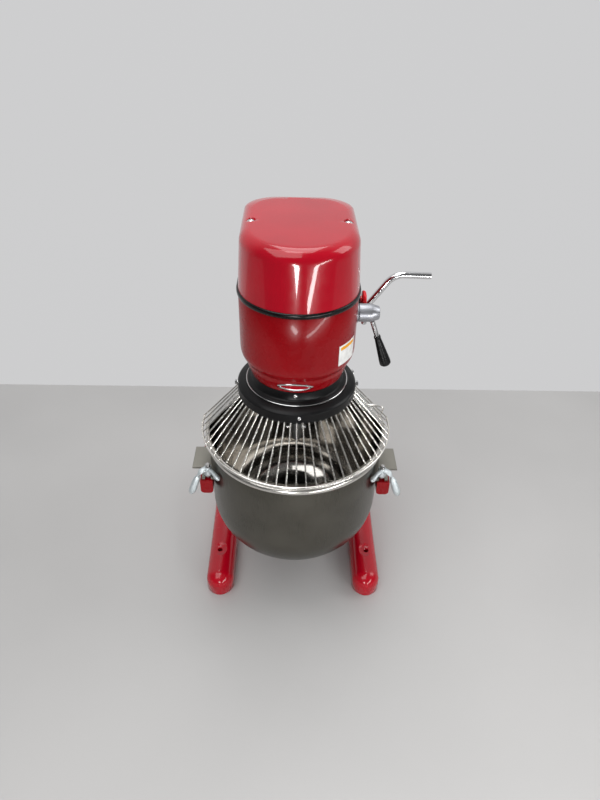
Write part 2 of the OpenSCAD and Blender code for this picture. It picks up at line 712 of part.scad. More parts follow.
tooth_pitch = PI * lift_module;
module lift_rack() placed() color(STEEL) translate([-10, 0, 0]) rotate([90, 0, 90]) linear_extrude(20) {
    teeth_from = -2;
    teeth_to = 10;
    translate([rack_back, rack_low])
        square([rack_base - 3.6 - rack_back, lift_z + (teeth_to + 0.5) * tooth_pitch - rack_low]);
    for (i = [teeth_from : teeth_to]) {
        z = lift_z + (i + 0.5) * tooth_pitch;
        polygon([
            [rack_base - 3.7, z - tooth_root * tooth_pitch], [rack_base + 2.7, z - tooth_tip * tooth_pitch],
            [rack_base + 2.7, z + tooth_tip * tooth_pitch], [rack_base - 3.7, z + tooth_root * tooth_pitch]
        ]);
    }
}

module lift_shaft() placed() color(STEEL) {
    bar_x(-column_x - 10, shaft_y, lift_z, 9, column_x + 10 + 96);
    bar_x(-column_x - 10, shaft_y, lift_z, 12, 5);
}

module lift_pinion() placed() color("goldenrod") translate([-9, shaft_y, lift_z]) rotate([0, 90, 0])
    spur_gear(lift_module, lift_teeth, 18, 9, -90);

module lift_lever() placed() color(STEEL) {
    elbow = [226, shaft_y, 666];
    end = [312, shaft_y, 664];
    difference() {
        union() {
            bar_x(74, shaft_y, lift_z, 15, 22);
            rod([88, shaft_y, lift_z + 4], elbow, lever_d / 2, round_n);
            translate(elbow) sphere(lever_d / 2 + 0.4, $fn = 64);
            rod(elbow, end, lever_d / 2, round_n);
        }
        bar_x(60, shaft_y, lift_z, 9, 36);
    }
}

base_casting();
column();
slide_rails();
column_bolts();
rear_cover();
rear_cover_screws();
lift_bushes();
head_housing();
gearbox_plate();
motor_shell();
motor_stator();
shaft_bearings();
ring_gear();
neck_ring();
retaining_ring();
neck_screws();
rear_guard();
trim_strip();
top_cover();
head_screws();
badge_plate();
blank_label();
selector_flange();
stop_switch_base();
cable_gland();
main_shaft();
main_gear();
planet_carrier();
planet_bearings();
tool_shaft();
planet_pinion();
bayonet_pin();
layshaft();
lay_gear();
lay_pinion();
motor_rotor();
motor_pinion();
motor_fan();
selector_hub();
selector_rod();
selector_grip();
selector_shaft();
hub_bolt();
stop_button();
guard_collar();
guard_wires();
guard_ring();
guard_handle();
collar_screws();
yoke();
lift_rack();
bowl();
bowl_rim_band();
bowl_brackets();
clamp_studs();
lift_shaft();
lift_lever();
lift_pinion();
clamp_nut_left();
clamp_nut_right();
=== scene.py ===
"""Looks of a bench planetary bowl mixer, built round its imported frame. Lengths in the classes are millimetres."""
from __future__ import annotations

import logging
import math
from dataclasses import dataclass, field
from enum import Enum
from typing import Callable, Iterable, Sequence

import bmesh
import bpy
from mathutils import Matrix, Vector


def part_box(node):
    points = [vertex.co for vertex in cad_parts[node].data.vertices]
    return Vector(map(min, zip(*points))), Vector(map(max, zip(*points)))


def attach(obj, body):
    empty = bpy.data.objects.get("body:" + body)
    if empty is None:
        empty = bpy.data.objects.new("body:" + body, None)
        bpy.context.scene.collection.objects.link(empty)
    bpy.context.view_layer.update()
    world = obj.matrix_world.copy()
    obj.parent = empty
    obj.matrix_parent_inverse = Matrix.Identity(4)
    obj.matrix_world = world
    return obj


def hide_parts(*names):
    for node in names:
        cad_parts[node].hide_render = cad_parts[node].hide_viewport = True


Point = Sequence[float]
Ring = list[Vector]

log = logging.getLogger("mixer")
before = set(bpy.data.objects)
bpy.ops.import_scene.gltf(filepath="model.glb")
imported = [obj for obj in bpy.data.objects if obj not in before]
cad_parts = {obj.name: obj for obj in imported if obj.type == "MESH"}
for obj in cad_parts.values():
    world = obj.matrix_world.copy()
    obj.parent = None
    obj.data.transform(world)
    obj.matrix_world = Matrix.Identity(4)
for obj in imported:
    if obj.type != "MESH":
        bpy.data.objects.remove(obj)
MM = 0.001
AXIS_TO_BOLTS = 115.0  # from the planetary axis back to the centre of the floor bolts
SCREW_STEPS = 48  # segments round a screw head
DOME_RINGS = 18  # rings from the middle of a domed head to its edge
DOME_CURVE = 2.6  # 2 is a round dome, more is flatter with a steeper edge
CROSS_WIDTH = 0.26  # half width of a cross recess's arm, as a share of its half length
CROSS_DEPTH = 0.55  # depth of a cross recess, as a share of the head's height
EASED_FROM = 30.0  # edges sharper than this many degrees are rounded
WELD = 1e-7  # metres within which a turned piece's points are one
CAD_WELD = 2e-6  # the same for a CAD mesh, whose faces don't share points


class Grain(Enum):
    """Which way a metal's polishing lines run, as noise stretches per axis."""

    AROUND = (7.0, 7.0, 1600.0)
    ALONG_X = (9.0, 900.0, 900.0)
    ALONG_Y = (900.0, 9.0, 900.0)
    ALONG_Z = (900.0, 900.0, 9.0)
    NONE = (120.0, 120.0, 120.0)


class Turned(Enum):
    """The axis that a turned piece is made about."""

    UP = "z"
    ACROSS = "x"


# ---------------------------------------------------------------- finishes


class Recipe:
    """One node material under construction."""

    def __init__(self, name: str) -> None:
        """Starts a material with its shader and object coordinates.

        Args:
            name: name of the material.
        """
        self.material = bpy.data.materials.new(name)
        self.material.use_nodes = True
        self.tree = self.material.node_tree
        self.shader = self.tree.nodes["Principled BSDF"]
        self.place = self.tree.nodes.new("ShaderNodeTexCoord").outputs["Object"]

    def set(self, **values: float | tuple[float, ...]) -> None:
        """Sets plain values on the shader.

        Args:
            values: socket names with underscores for spaces, and their values.
        """
        for key, value in values.items():
            self.shader.inputs[key.replace("_", " ")].default_value = value

    def feed(self, source: bpy.types.NodeSocket, socket: str) -> None:
        """Links a socket to the shader.

        Args:
            source: output to link.
            socket: name of the shader's input.
        """
        self.tree.links.new(source, self.shader.inputs[socket])

    def noise(
        self, scale: float, detail: float = 3.0, stretch: Point = (1, 1, 1), rough: float = 0.5,
    ) -> bpy.types.NodeSocket:
        """Adds noise in object space.

        Args:
            scale: noise scale per metre.
            detail: octaves.
            stretch: multipliers per axis.
            rough: share of each further octave.

        Returns:
            The noise's value output.
        """
        mapping = self.tree.nodes.new("ShaderNodeMapping")
        mapping.inputs["Scale"].default_value = stretch
        self.tree.links.new(self.place, mapping.inputs["Vector"])
        texture = self.tree.nodes.new("ShaderNodeTexNoise")
        texture.inputs["Scale"].default_value = scale
        texture.inputs["Detail"].default_value = detail
        texture.inputs["Roughness"].default_value = rough
        self.tree.links.new(mapping.outputs["Vector"], texture.inputs["Vector"])
        return texture.outputs["Fac"]

    def ramp(self, source: bpy.types.NodeSocket, stops: Sequence[tuple[float, Point]]) -> bpy.types.NodeSocket:
        """Turns a value into a colour.

        Args:
            source: value from 0 to 1.
            stops: positions and colours, lowest first.

        Returns:
            The colour output.
        """
        node = self.tree.nodes.new("ShaderNodeValToRGB")
        ramp = node.color_ramp
        while len(ramp.elements) < len(stops):
            ramp.elements.new(0.5)
        for element, (place, colour) in zip(ramp.elements, stops):
            element.position = place
            element.color = (*colour, 1.0)
        self.tree.links.new(source, node.inputs["Fac"])
        return node.outputs["Color"]

    def span(
        self, source: bpy.types.NodeSocket, low: float, high: float, start: float = 0.3, end: float = 0.7,
    ) -> bpy.types.NodeSocket:
        """Maps a value onto a range.

        Args:
            source: value to map.
            low: result at start.
            high: result at end.
            start: value that gives low.
            end: value that gives high.

        Returns:
            The mapped output.
        """
        node = self.tree.nodes.new("ShaderNodeMapRange")
        for key, value in (("From Min", start), ("From Max", end), ("To Min", low), ("To Max", high)):
            node.inputs[key].default_value = value
        self.tree.links.new(source, node.inputs["Value"])
        return node.outputs["Result"]

    def bump(self, height: bpy.types.NodeSocket, strength: float, depth: float) -> None:
        """Adds a bump over any bump already there.

        Args:
            height: height from 0 to 1.
            strength: bump strength.
            depth: bump distance in metres.
        """
        node = self.tree.nodes.new("ShaderNodeBump")
        node.inputs["Strength"].default_value = strength
        node.inputs["Distance"].default_value = depth
        self.tree.links.new(height, node.inputs["Height"])
        before = self.shader.inputs["Normal"]
        if before.is_linked:
            self.tree.links.new(before.links[0].from_socket, node.inputs["Normal"])
        self.tree.links.new(node.outputs["Normal"], before)

    def tones(
        self, source: bpy.types.NodeSocket, colour: Point, low: tuple[float, float], high: tuple[float, float]
    ) -> None:
        """Lets a pattern drive the base colour between two shades of one colour.

        Args:
            source: the pattern.
            colour: the colour between the two shades.
            low: place on the ramp and brightness factor of the first shade.
            high: place on the ramp and brightness factor of the second shade.
        """
        stops = [(place, shade(colour, factor)) for place, factor in (low, high)]
        self.feed(self.ramp(source, stops), "Base Color")


def shade(colour: Point, factor: float) -> tuple[float, float, float]:
    """Scales a colour.

    Args:
        colour: linear red, green and blue.
        factor: multiplier.

    Returns:
        The scaled colour, each part at most 1.
    """
    return tuple(min(1.0, part * factor) for part in colour)  # type: ignore[return-value]


@dataclass(frozen=True)
class Finish:
    """A surface finish; material() makes it once and hands the same one out again."""

    name: str
    colour: tuple[float, float, float] = (0.5, 0.5, 0.5)

    def material(self) -> bpy.types.Material:
        """Returns this finish's material, made on first use."""
        found = bpy.data.materials.get(self.name)
        if found is None:
            recipe = Recipe(self.name)
            self.mix(recipe)
            found = recipe.material
        return found

    def mix(self, recipe: Recipe) -> None:
        """Fills in the recipe.

        Args:
            recipe: material under construction.
        """
        raise NotImplementedError


@dataclass(frozen=True)
class Enamel(Finish):
    """Glossy sprayed enamel with faint orange peel."""

    peel: float = 0.05
    gloss: float = 0.16
    coat: float = 0.6

    def mix(self, recipe: Recipe) -> None:
        """Colour drifts slightly, the clear top layer stays glossy.

        Args:
            recipe: material under construction.
        """
        drift = recipe.noise(9.0, 4.0)
        recipe.tones(drift, self.colour, (0.3, 0.9), (0.7, 1.08))
        recipe.feed(recipe.span(recipe.noise(60.0, 5.0), self.gloss, self.gloss + 0.08), "Roughness")
        recipe.set(Coat_Weight=self.coat, Coat_Roughness=0.03, Coat_IOR=1.5, IOR=1.5, Specular_IOR_Level=0.2)
        recipe.bump(recipe.noise(260.0, 2.0), self.peel, 0.0003)


@dataclass(frozen=True)
class SatinPaint(Finish):
    """Powder coat or satin paint with a fine texture."""

    rough: float = 0.42
    texture: float = 0.25

    def mix(self, recipe: Recipe) -> None:
        """Even colour, fine dimples and a few dull patches.

        Args:
            recipe: material under construction.
        """
        recipe.tones(recipe.noise(40.0, 5.0), self.colour, (0.35, 0.8), (0.7, 1.35))
        recipe.feed(recipe.span(recipe.noise(25.0, 6.0), self.rough - 0.07, self.rough + 0.1), "Roughness")
        recipe.set(IOR=1.45, Specular_IOR_Level=0.24)
        recipe.bump(recipe.noise(1400.0, 2.0), self.texture, 0.0003)


@dataclass(frozen=True)
class Metal(Finish):
    """Bare metal with polishing lines."""

    grain: Grain = Grain.NONE
    rough: float = 0.28
    lines: float = 0.12
    stain: float = 0.06

    def mix(self, recipe: Recipe) -> None:
        """Fine lines along the grain, cloudy roughness under them.

        Args:
            recipe: material under construction.
        """
        lines = recipe.noise(1.0, 6.0, self.grain.value, 0.65)
        cloud = recipe.noise(14.0, 5.0)
        recipe.tones(cloud, self.colour, (0.3, 1 - self.stain), (0.7, 1 + self.stain))
        add = recipe.tree.nodes.new("ShaderNodeMath")
        recipe.tree.links.new(recipe.span(lines, -0.06, 0.08), add.inputs[0])
        recipe.tree.links.new(recipe.span(cloud, self.rough - 0.04, self.rough + 0.05), add.inputs[1])
        recipe.feed(add.outputs[0], "Roughness")
        recipe.set(Metallic=1.0)
        recipe.bump(lines, self.lines, 0.0002)


@dataclass(frozen=True)
class CastZinc(Finish):
    """Grainy die-cast zinc, pale and slightly blue."""

    rough: float = 0.45

    def mix(self, recipe: Recipe) -> None:
        """Speckled colour, pits and soft dents.

        Args:
            recipe: material under construction.
        """
        speck = recipe.noise(900.0, 4.0)
        recipe.feed(recipe.ramp(speck, [(0.35, shade(self.colour, 0.72)), (0.6, self.colour)]), "Base Color")
        recipe.feed(recipe.span(recipe.noise(120.0, 4.0), self.rough - 0.08, self.rough + 0.12), "Roughness")
        recipe.set(Metallic=0.8)
        recipe.bump(speck, 0.3, 0.0004)
        recipe.bump(recipe.noise(150.0, 2.0), 0.2, 0.001)


@dataclass(frozen=True)
class Moulded(Finish):
    """Moulded plastic or rubber."""

    rough: float = 0.35
    grain_depth: float = 0.12

    def mix(self, recipe: Recipe) -> None:
        """Fine moulded grain with handling marks.

        Args:
            recipe: material under construction.
        """
        recipe.tones(recipe.noise(70.0, 4.0), self.colour, (0.3, 0.85), (0.75, 1.2))
        recipe.feed(recipe.span(recipe.noise(35.0, 6.0), self.rough - 0.06, self.rough + 0.1), "Roughness")
        recipe.set(IOR=1.46, Specular_IOR_Level=0.35)
        recipe.bump(recipe.noise(1800.0, 2.0), self.grain_depth, 0.0002)


@dataclass(frozen=True)
class Winding(Finish):
    """Lacquered copper wire seen as fine upright strands."""

    def mix(self, recipe: Recipe) -> None:
        """Strands by stretched noise.

        Args:
            recipe: material under construction.
        """
        strands = recipe.noise(1.0, 3.0, (700.0, 700.0, 30.0))
        recipe.feed(recipe.ramp(strands, [(0.35, shade(self.colour, 0.35)), (0.6, self.colour)]), "Base Color")
        recipe.set(Metallic=0.9, Roughness=0.35, Coat_Weight=0.4)
        recipe.bump(strands, 0.5, 0.0008)


@dataclass(frozen=True)
class Concrete(Finish):
    """Plain pale floor."""

    def mix(self, recipe: Recipe) -> None:
        """Very faint clouds and pores.

        Args:
            recipe: material under construction.
        """
        recipe.tones(recipe.noise(2.5, 6.0), self.colour, (0.3, 0.96), (0.7, 1.03))
        recipe.feed(recipe.span(recipe.noise(5.0, 4.0), 0.55, 0.7), "Roughness")
        recipe.bump(recipe.noise(160.0, 3.0), 0.05, 0.001)


RED = Enamel("red_enamel", (0.385, 0.0005, 0.011), peel=0.02)
RED_CAST = Enamel("red_enamel_on_casting", (0.245, 0.0, 0.003), peel=0.03, gloss=0.24, coat=0.12)
RED_BASE = Enamel("red_enamel_on_base", (0.40, 0.0, 0.010), peel=0.05, gloss=0.2)
BLACK_COAT = SatinPaint("satin_black_coat", (0.0026, 0.0026, 0.003), rough=0.34, texture=0.1)
BLACK_IRON = SatinPaint("black_iron", (0.018, 0.018, 0.02), rough=0.5, texture=0.5)
RUBBER = Moulded("black_rubber", (0.002, 0.002, 0.002), rough=0.22)
GRIP = Moulded("black_grip", (0.004, 0.004, 0.0045), rough=0.28)
SWITCH_RED = Moulded("button_red", (0.75, 0.012, 0.02), rough=0.22, grain_depth=0.04)
SILVER = Metal("silver_paint", (0.43, 0.44, 0.47), Grain.NONE, rough=0.36, lines=0.02, stain=0.03)
# painted shade: the bowl's outside steel is coloured far darker than its inside, standing in for the dark
# surroundings it mirrors
BOWL_OUT_PAINTED_SHADE = Metal("bowl_outside_painted_shade", (0.115, 0.109, 0.093), Grain.ALONG_Z, rough=0.30, lines=0.03, stain=0.12)
BOWL_IN = Metal("bowl_inside", (0.50, 0.48, 0.45), Grain.AROUND, rough=0.09, lines=0.0, stain=0.03)
BAND = Metal("rim_band", (0.66, 0.64, 0.60), Grain.AROUND, rough=0.24, lines=0.02)
WIRE = Metal("guard_wire", (0.80, 0.78, 0.74), Grain.NONE, rough=0.22, lines=0.0, stain=0.02)
SHEET = Metal("guard_sheet", (0.56, 0.55, 0.53), Grain.AROUND, rough=0.26)
PLATE = Metal("bracket_plate", (0.26, 0.25, 0.22), Grain.ALONG_Y, rough=0.42, lines=0.2)
CHROME = Metal("chrome", (0.72, 0.72, 0.73), Grain.NONE, rough=0.08, lines=0.01, stain=0.02)
BRIGHT = Metal("bright_screw", (0.68, 0.68, 0.68), Grain.NONE, rough=0.2)
GROUND = Metal("ground_steel", (0.55, 0.55, 0.55), Grain.AROUND, rough=0.3)
RAIL = Metal("ground_rail", (0.55, 0.55, 0.55), Grain.ALONG_Z, rough=0.32, lines=0.2)
CUT_STEEL = Metal("cut_gear_steel", (0.34, 0.335, 0.33), Grain.AROUND, rough=0.38, stain=0.12)
ALUMINIUM = Metal("cast_aluminium", (0.62, 0.62, 0.63), Grain.NONE, rough=0.45, stain=0.1)
BRONZE = Metal("bronze", (0.62, 0.40, 0.17), Grain.ALONG_X, rough=0.32)
ZINC = CastZinc("cast_zinc", (0.70, 0.76, 0.78))
COPPER = Winding("copper_winding", (0.62, 0.26, 0.10))
PAPER = Moulded("label_film", (0.80, 0.80, 0.78), rough=0.4, grain_depth=0.02)
ORANGE = Moulded("label_band", (0.90, 0.38, 0.02), rough=0.4, grain_depth=0.02)
BADGE_FIELD = Enamel("badge_field", (0.42, 0.004, 0.014), peel=0.3, gloss=0.25)
FLOOR = Concrete("pale_floor", (0.42, 0.415, 0.41))


# ---------------------------------------------------------------- making pieces


def at(x: float, y: float, z: float) -> Vector:
    """Gives a machine point, measured from the planetary axis and the floor, in the frame's metres.

    Args:
        x: millimetres to the operator's right.
        y: millimetres to the back from the planetary axis.
        z: millimetres above the floor.

    Returns:
        The point in metres, in the frame's own coordinates.
    """
    return Vector((x, y - AXIS_TO_BOLTS, z)) * MM


def publish(
    piece: bpy.types.Object,
    body: str,
    nodes: Sequence[str],
) -> bpy.types.Object:
    """Puts a piece on its body in place of CAD nodes.

    Args:
        piece: the finished object.
        body: body that it rides on.
        nodes: CAD nodes that it stands for.

    Returns:
        The piece.
    """
    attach(piece, body)
    if nodes:
        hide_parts(*nodes)
    log.info("%s rides on %s", piece.name, body)
    return piece


def from_bmesh(
    name: str, bm: bmesh.types.BMesh, finishes: Sequence[Finish], sharp: float = 38.0,
) -> bpy.types.Object:
    """Makes a smooth shaded object.

    Args:
        name: object name.
        bm: mesh, freed here.
        finishes: one finish for each material index.
        sharp: angle in degrees above which an edge stays sharp.

    Returns:
        The object.
    """
    bmesh.ops.recalc_face_normals(bm, faces=bm.faces)
    for face in bm.faces:
        face.smooth = True
    mesh = bpy.data.meshes.new(name)
    bm.to_mesh(mesh)
    bm.free()
    mesh.set_sharp_from_angle(angle=math.radians(sharp))
    for finish in finishes:
        mesh.materials.append(finish.material())
    piece = bpy.data.objects.new(name, mesh)
    bpy.context.scene.collection.objects.link(piece)
    return piece


def loft_into(
    bm: bmesh.types.BMesh,
    rings: Sequence[Ring],
    closed: bool = True,
    caps: tuple[bool, bool] = (True, True),
    tints: Sequence[int] | None = None,
    loop: bool = False,
) -> None:
    """Skins rings of points.

    Args:
        bm: mesh that gets the faces.
        rings: rings with equal numbers of points.
        closed: whether each ring closes on itself.
        caps: whether the first and last rings are filled.
        tints: material index of each band between rings.
        loop: whether the last ring joins the first.
    """
    rows = [[bm.verts.new(point) for point in ring] for ring in rings]
    count = len(rows[0])
    bands = len(rows) if loop else len(rows) - 1
    for band in range(bands):
        low, high = rows[band], rows[(band + 1) % len(rows)]
        for i in range(count if closed else count - 1):
            j = (i + 1) % count
            face = bm.faces.new((low[i], low[j], high[j], high[i]))
            face.material_index = tints[band] if tints else 0
    if caps[0] and not loop:
        bm.faces.new(rows[0])
    if caps[1] and not loop:
        bm.faces.new(list(reversed(rows[-1])))


def turn_into(
    bm: bmesh.types.BMesh,
    profile: Sequence[tuple[float, float]],
    centre: Vector,
    way: Turned = Turned.UP,
    steps: int = 64,
    tints: Sequence[int] | None = None,
    flute: Callable[[float, float], float] | None = None,
) -> None:
    """Turns a profile about an axis.

    Args:
        bm: mesh that gets the faces.
        profile: radius and height in millimetres, as an open line; a radius of 0 closes an end.
        centre: point on the axis at height 0, in metres.
        way: the axis.
        steps: segments in the whole turn.
        tints: material index of each profile segment.
        flute: extra radius in millimetres from angle in radians and height.
    """
    angles = [math.radians(360.0 * i / steps) for i in range(steps)]

    def put(radius: float, height: float, angle: float) -> Vector:
        """Places one profile point.

        Args:
            radius: distance from the axis in millimetres.
            height: distance along the axis in millimetres.
            angle: turn about the axis in radians.

        Returns:
            The point in metres.
        """
        r = radius + (flute(angle, height) if flute and radius > 0 else 0.0)
        a, b = r * math.cos(angle) * MM, r * math.sin(angle) * MM
        h = height * MM
        return centre + Vector((a, b, h) if way is Turned.UP else (h, a, b))

    rows: list[list[bmesh.types.BMVert]] = []
    for radius, height in profile:
        if radius < 1e-6:
            rows.append([bm.verts.new(put(0.0, height, 0.0))])
        else:
            rows.append([bm.verts.new(put(radius, height, angle)) for angle in angles])
    for band, (low, high) in enumerate(zip(rows, rows[1:])):
        for i in range(steps):
            j = (i + 1) % steps
            corners = [low[i % len(low)], low[j % len(low)], high[j % len(high)], high[i % len(high)]]
            corners = list(dict.fromkeys(corners))
            if len(corners) > 2:
                bm.faces.new(corners).material_index = tints[band] if tints else 0


def turned(
    name: str,
    profile: Sequence[tuple[float, float]],
    centre: Vector,
    finishes: Sequence[Finish],
    way: Turned = Turned.UP,
    steps: int = 64,
    tints: Sequence[int] | None = None,
    flute: Callable[[float, float], float] | None = None,
    sharp: float = 38.0,
) -> bpy.types.Object:
    """Makes one turned object.

    Args:
        name: object name.
        profile: radius and height in millimetres, as for turn_into.
        centre: point on the axis at height 0, in metres.
        finishes: one finish for each material index.
        way: the axis.
        steps: segments in the whole turn.
        tints: material index of each profile segment.
        flute: extra radius in millimetres from angle in radians and height.
        sharp: angle in degrees above which an edge stays sharp.

    Returns:
        The object.
    """
    bm = bmesh.new()
    turn_into(bm, profile, centre, way, steps, tints, flute)
    bmesh.ops.remove_doubles(bm, verts=bm.verts, dist=WELD)
    return from_bmesh(name, bm, finishes, sharp)


def arc_points(centre: Point, radius: float, start: float, end: float, steps: int = 6) -> list[tuple[float, float]]:
    """Gives points on an arc in a plane.

    Args:
        centre: arc centre.
        radius: arc radius.
        start: first angle in degrees.
        end: last angle in degrees.
        steps: segments.

    Returns:
        The points with both ends.
    """
    result = []
    for i in range(steps + 1):
        angle = math.radians(start + (end - start) * i / steps)
        result.append((centre[0] + radius * math.cos(angle), centre[1] + radius * math.sin(angle)))
    return result


def bent_path(points: Sequence[Vector], radius: float, steps: int = 8) -> list[Vector]:
    """Rounds the corners of a path.

    Args:
        points: corner points.
        radius: distance from each corner at which the bend starts.
        steps: segments in each bend.

    Returns:
        Points along the rounded path.
    """
    result = [points[0]]
    for before, corner, after in zip(points, points[1:], points[2:]):
        reach = min(radius, (before - corner).length * 0.45, (after - corner).length * 0.45)
        a = corner + (before - corner).normalized() * reach
        b = corner + (after - corner).normalized() * reach
        for i in range(steps + 1):
            t = i / steps
            result.append(a.lerp(corner, t).lerp(corner.lerp(b, t), t))
    result.append(points[-1])
    return result


def wire_object(
    name: str, paths: Sequence[Sequence[Vector]], radius: float, finish: Finish, sides: int = 5,
) -> bpy.types.Object:
    """Makes round wires along paths.

    Args:
        name: object name.
        paths: one list of points for each wire.
        radius: wire radius in metres.
        finish: wire finish.
        sides: bevel resolution.

    Returns:
        The curve object.
    """
    curve = bpy.data.curves.new(name, "CURVE")
    curve.dimensions = "3D"
    curve.bevel_depth = radius
    curve.bevel_resolution = sides
    curve.use_fill_caps = True
    for path in paths:
        spline = curve.splines.new("POLY")
        spline.points.add(len(path) - 1)
        for slot, point in zip(spline.points, path):
            slot.co = (*point, 1.0)
        spline.use_smooth = True
    curve.materials.append(finish.material())
    piece = bpy.data.objects.new(name, curve)
    bpy.context.scene.collection.objects.link(piece)
    return piece


def settled(piece: bpy.types.Object) -> bpy.types.Object:
    """Applies a piece's modifiers.

    Args:
        piece: object with modifiers.

    Returns:
        The same object with a plain mesh.
    """
    bpy.context.view_layer.update()
    evaluated = piece.evaluated_get(bpy.context.evaluated_depsgraph_get())
    mesh = bpy.data.meshes.new_from_object(evaluated)
    piece.modifiers.clear()
    piece.data = mesh
    return piece


def carve(piece: bpy.types.Object, cutters: Sequence[bpy.types.Object]) -> bpy.types.Object:
    """Cuts holes in a piece and removes the cutters.

    Args:
        piece: solid to cut.
        cutters: solids to take away.

    Returns:
        The piece.
    """
    for cutter in cutters:
        modifier = piece.modifiers.new("hole", "BOOLEAN")
        modifier.object = cutter
        modifier.operation = "DIFFERENCE"
        modifier.solver = "EXACT"
    settled(piece)
    for cutter in cutters:
        bpy.data.objects.remove(cutter)
    return piece


def eased(piece: bpy.types.Object, width: float, segments: int = 3) -> bpy.types.Object:
    """Rounds a piece's edges.

    Args:
        piece: object to round.
        width: bevel width in millimetres.
        segments: bevel segments.

    Returns:
        The piece with its modifiers applied.
    """
    bevel = piece.modifiers.new("edge", "BEVEL")
    bevel.width = width * MM
    bevel.segments = segments
    bevel.limit_method = "ANGLE"
    bevel.angle_limit = math.radians(EASED_FROM)
    bevel.use_clamp_overlap = True
    weight = piece.modifiers.new("normals", "WEIGHTED_NORMAL")
    weight.keep_sharp = True
    return settled(piece)


def softened(name: str, node: str, body: str, finish: Finish, width: float, segments: int = 3) -> bpy.types.Object:
    """Makes a piece with the CAD node's shape and rounded edges.

    Args:
        name: object name.
        node: CAD node that gives the shape.
        body: body that it rides on.
        finish: finish of the whole piece.
        width: edge radius in millimetres.
        segments: bevel segments.

    Returns:
        The piece, in place of the node.
    """
    bm = bmesh.new()
    bm.from_mesh(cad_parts[node].data)
    bmesh.ops.remove_doubles(bm, verts=bm.verts, dist=CAD_WELD)
    bmesh.ops.dissolve_limit(bm, angle_limit=math.radians(1.0), verts=bm.verts, edges=bm.edges)
    piece = from_bmesh(name, bm, [finish], 24.0)
    eased(piece, width, segments)
    return publish(piece, body, [node])


def dress(node: str, finish: Finish) -> None:
    """Gives a CAD node a finish.

    Args:
        node: CAD node.
        finish: its finish.
    """
    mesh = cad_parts[node].data
    mesh.materials.clear()
    mesh.materials.append(finish.material())


def dome_screw_into(
    bm: bmesh.types.BMesh,
    centre: Vector,
    outward: Vector,
    radius: float,
    height: float,
    cross: float = 0.0,
) -> None:
    """Adds a domed screw head with an optional cross recess.

    Args:
        bm: mesh that gets the head.
        centre: middle of its seat, in metres.
        outward: direction that the head faces.
        radius: head radius in millimetres.
        height: head height in millimetres.
        cross: half length of the recess's arms in millimetres.
    """
    turn = outward.to_track_quat("Z", "Y").to_matrix()
    rows: list[list[bmesh.types.BMVert]] = []
    for i in range(DOME_RINGS + 1):
        share = i / DOME_RINGS
        row = []
        for j in range(SCREW_STEPS if i else 1):
            angle = 2 * math.pi * j / SCREW_STEPS
            r = radius * share
            x, y = r * math.cos(angle), r * math.sin(angle)
            z = height * (1 - share**DOME_CURVE) if share < 1 else 0.0
            if min(abs(x), abs(y)) < cross * CROSS_WIDTH and max(abs(x), abs(y)) < cross:
                z -= height * CROSS_DEPTH
            row.append(bm.verts.new(centre + turn @ Vector((x, y, z)) * MM))
        rows.append(row)
    low = [bm.verts.new(vert.co - outward.normalized() * MM) for vert in rows[-1]]
    rows.append(low)
    for inner, outer in zip(rows, rows[1:]):
        for j in range(SCREW_STEPS):
            k = (j + 1) % SCREW_STEPS
            corners = list(dict.fromkeys([inner[j % len(inner)], inner[k % len(inner)], outer[k], outer[j]]))
            bm.faces.new(corners)
    bm.faces.new(low)


def hex_into(
    bm: bmesh.types.BMesh,
    centre: Vector,
    outward: Vector,
    radius: float,
    height: float,
) -> None:
    """Adds a hexagon bolt head or nut with chamfered corners and a washer face.

    Args:
        bm: mesh that gets the head.
        centre: middle of its seat, in metres.
        outward: direction that the head faces.
        radius: corner radius in millimetres.
        height: head height in millimetres.
    """
    turn = outward.to_track_quat("Z", "Y").to_matrix()
    levels = (
        (1.02, -0.1), (1.02, 0.8), (1.0, 0.8), (1.0, height - 0.9), (0.955, height - 0.3), (0.82, height),
        (0.3, height),
    )
    rings = []
    for r_out, z in levels:
        ring = []
        for j in range(SCREW_STEPS):
            angle = 2 * math.pi * j / SCREW_STEPS
            flat = math.cos(math.pi / 6) / math.cos((angle % (math.pi / 3)) - math.pi / 6)
            r = radius * (min(flat, r_out) if z >= 0.8 and r_out <= 1.0 else r_out * 0.98)
            ring.append(centre + turn @ Vector((r * math.cos(angle), r * math.sin(angle), z)) * MM)
        rings.append(ring)
    loft_into(bm, rings)


def head_outline(radius: float, back: float, corner: float) -> list[tuple[float, float]]:
    """Gives the head's plan outline: round front, straight sides, rounded rear corners.

    Args:
        radius: half width and front radius.
        back: distance from the axis to the back.
        corner: radius of the rear corners.

    Returns:
        Points in plan, always the same number.
    """
    points = arc_points((0, 0), radius, 180, 360, 72)
    side = back - corner
    points += [(radius, side * i / 12) for i in range(1, 12)]
    points += arc_points((radius - corner, side), corner, 0, 90, 18)
    flat = 2 * (radius - corner)
    points += [(radius - corner - flat * i / 12, back) for i in range(1, 12)]
    points += arc_points((corner - radius, side), corner, 90, 180, 18)
    points += [(-radius, side * (1 - i / 12)) for i in range(1, 12)]
    return points


def rounded_box_into(bm: bmesh.types.BMesh, low: Point, high: Point) -> None:
    """Adds a closed box that a bevel then rounds.

    Args:
        bm: mesh that gets the box.
        low: lowest corner in machine millimetres.
        high: highest corner in machine millimetres.
    """
    outline = ((low[0], low[1]), (high[0], low[1]), (high[0], high[1]), (low[0], high[1]))
    loft_into(bm, [[at(x, y, z) for x, y in outline] for z in (low[2], high[2])])


# ---------------------------------------------------------------- sub-assemblies


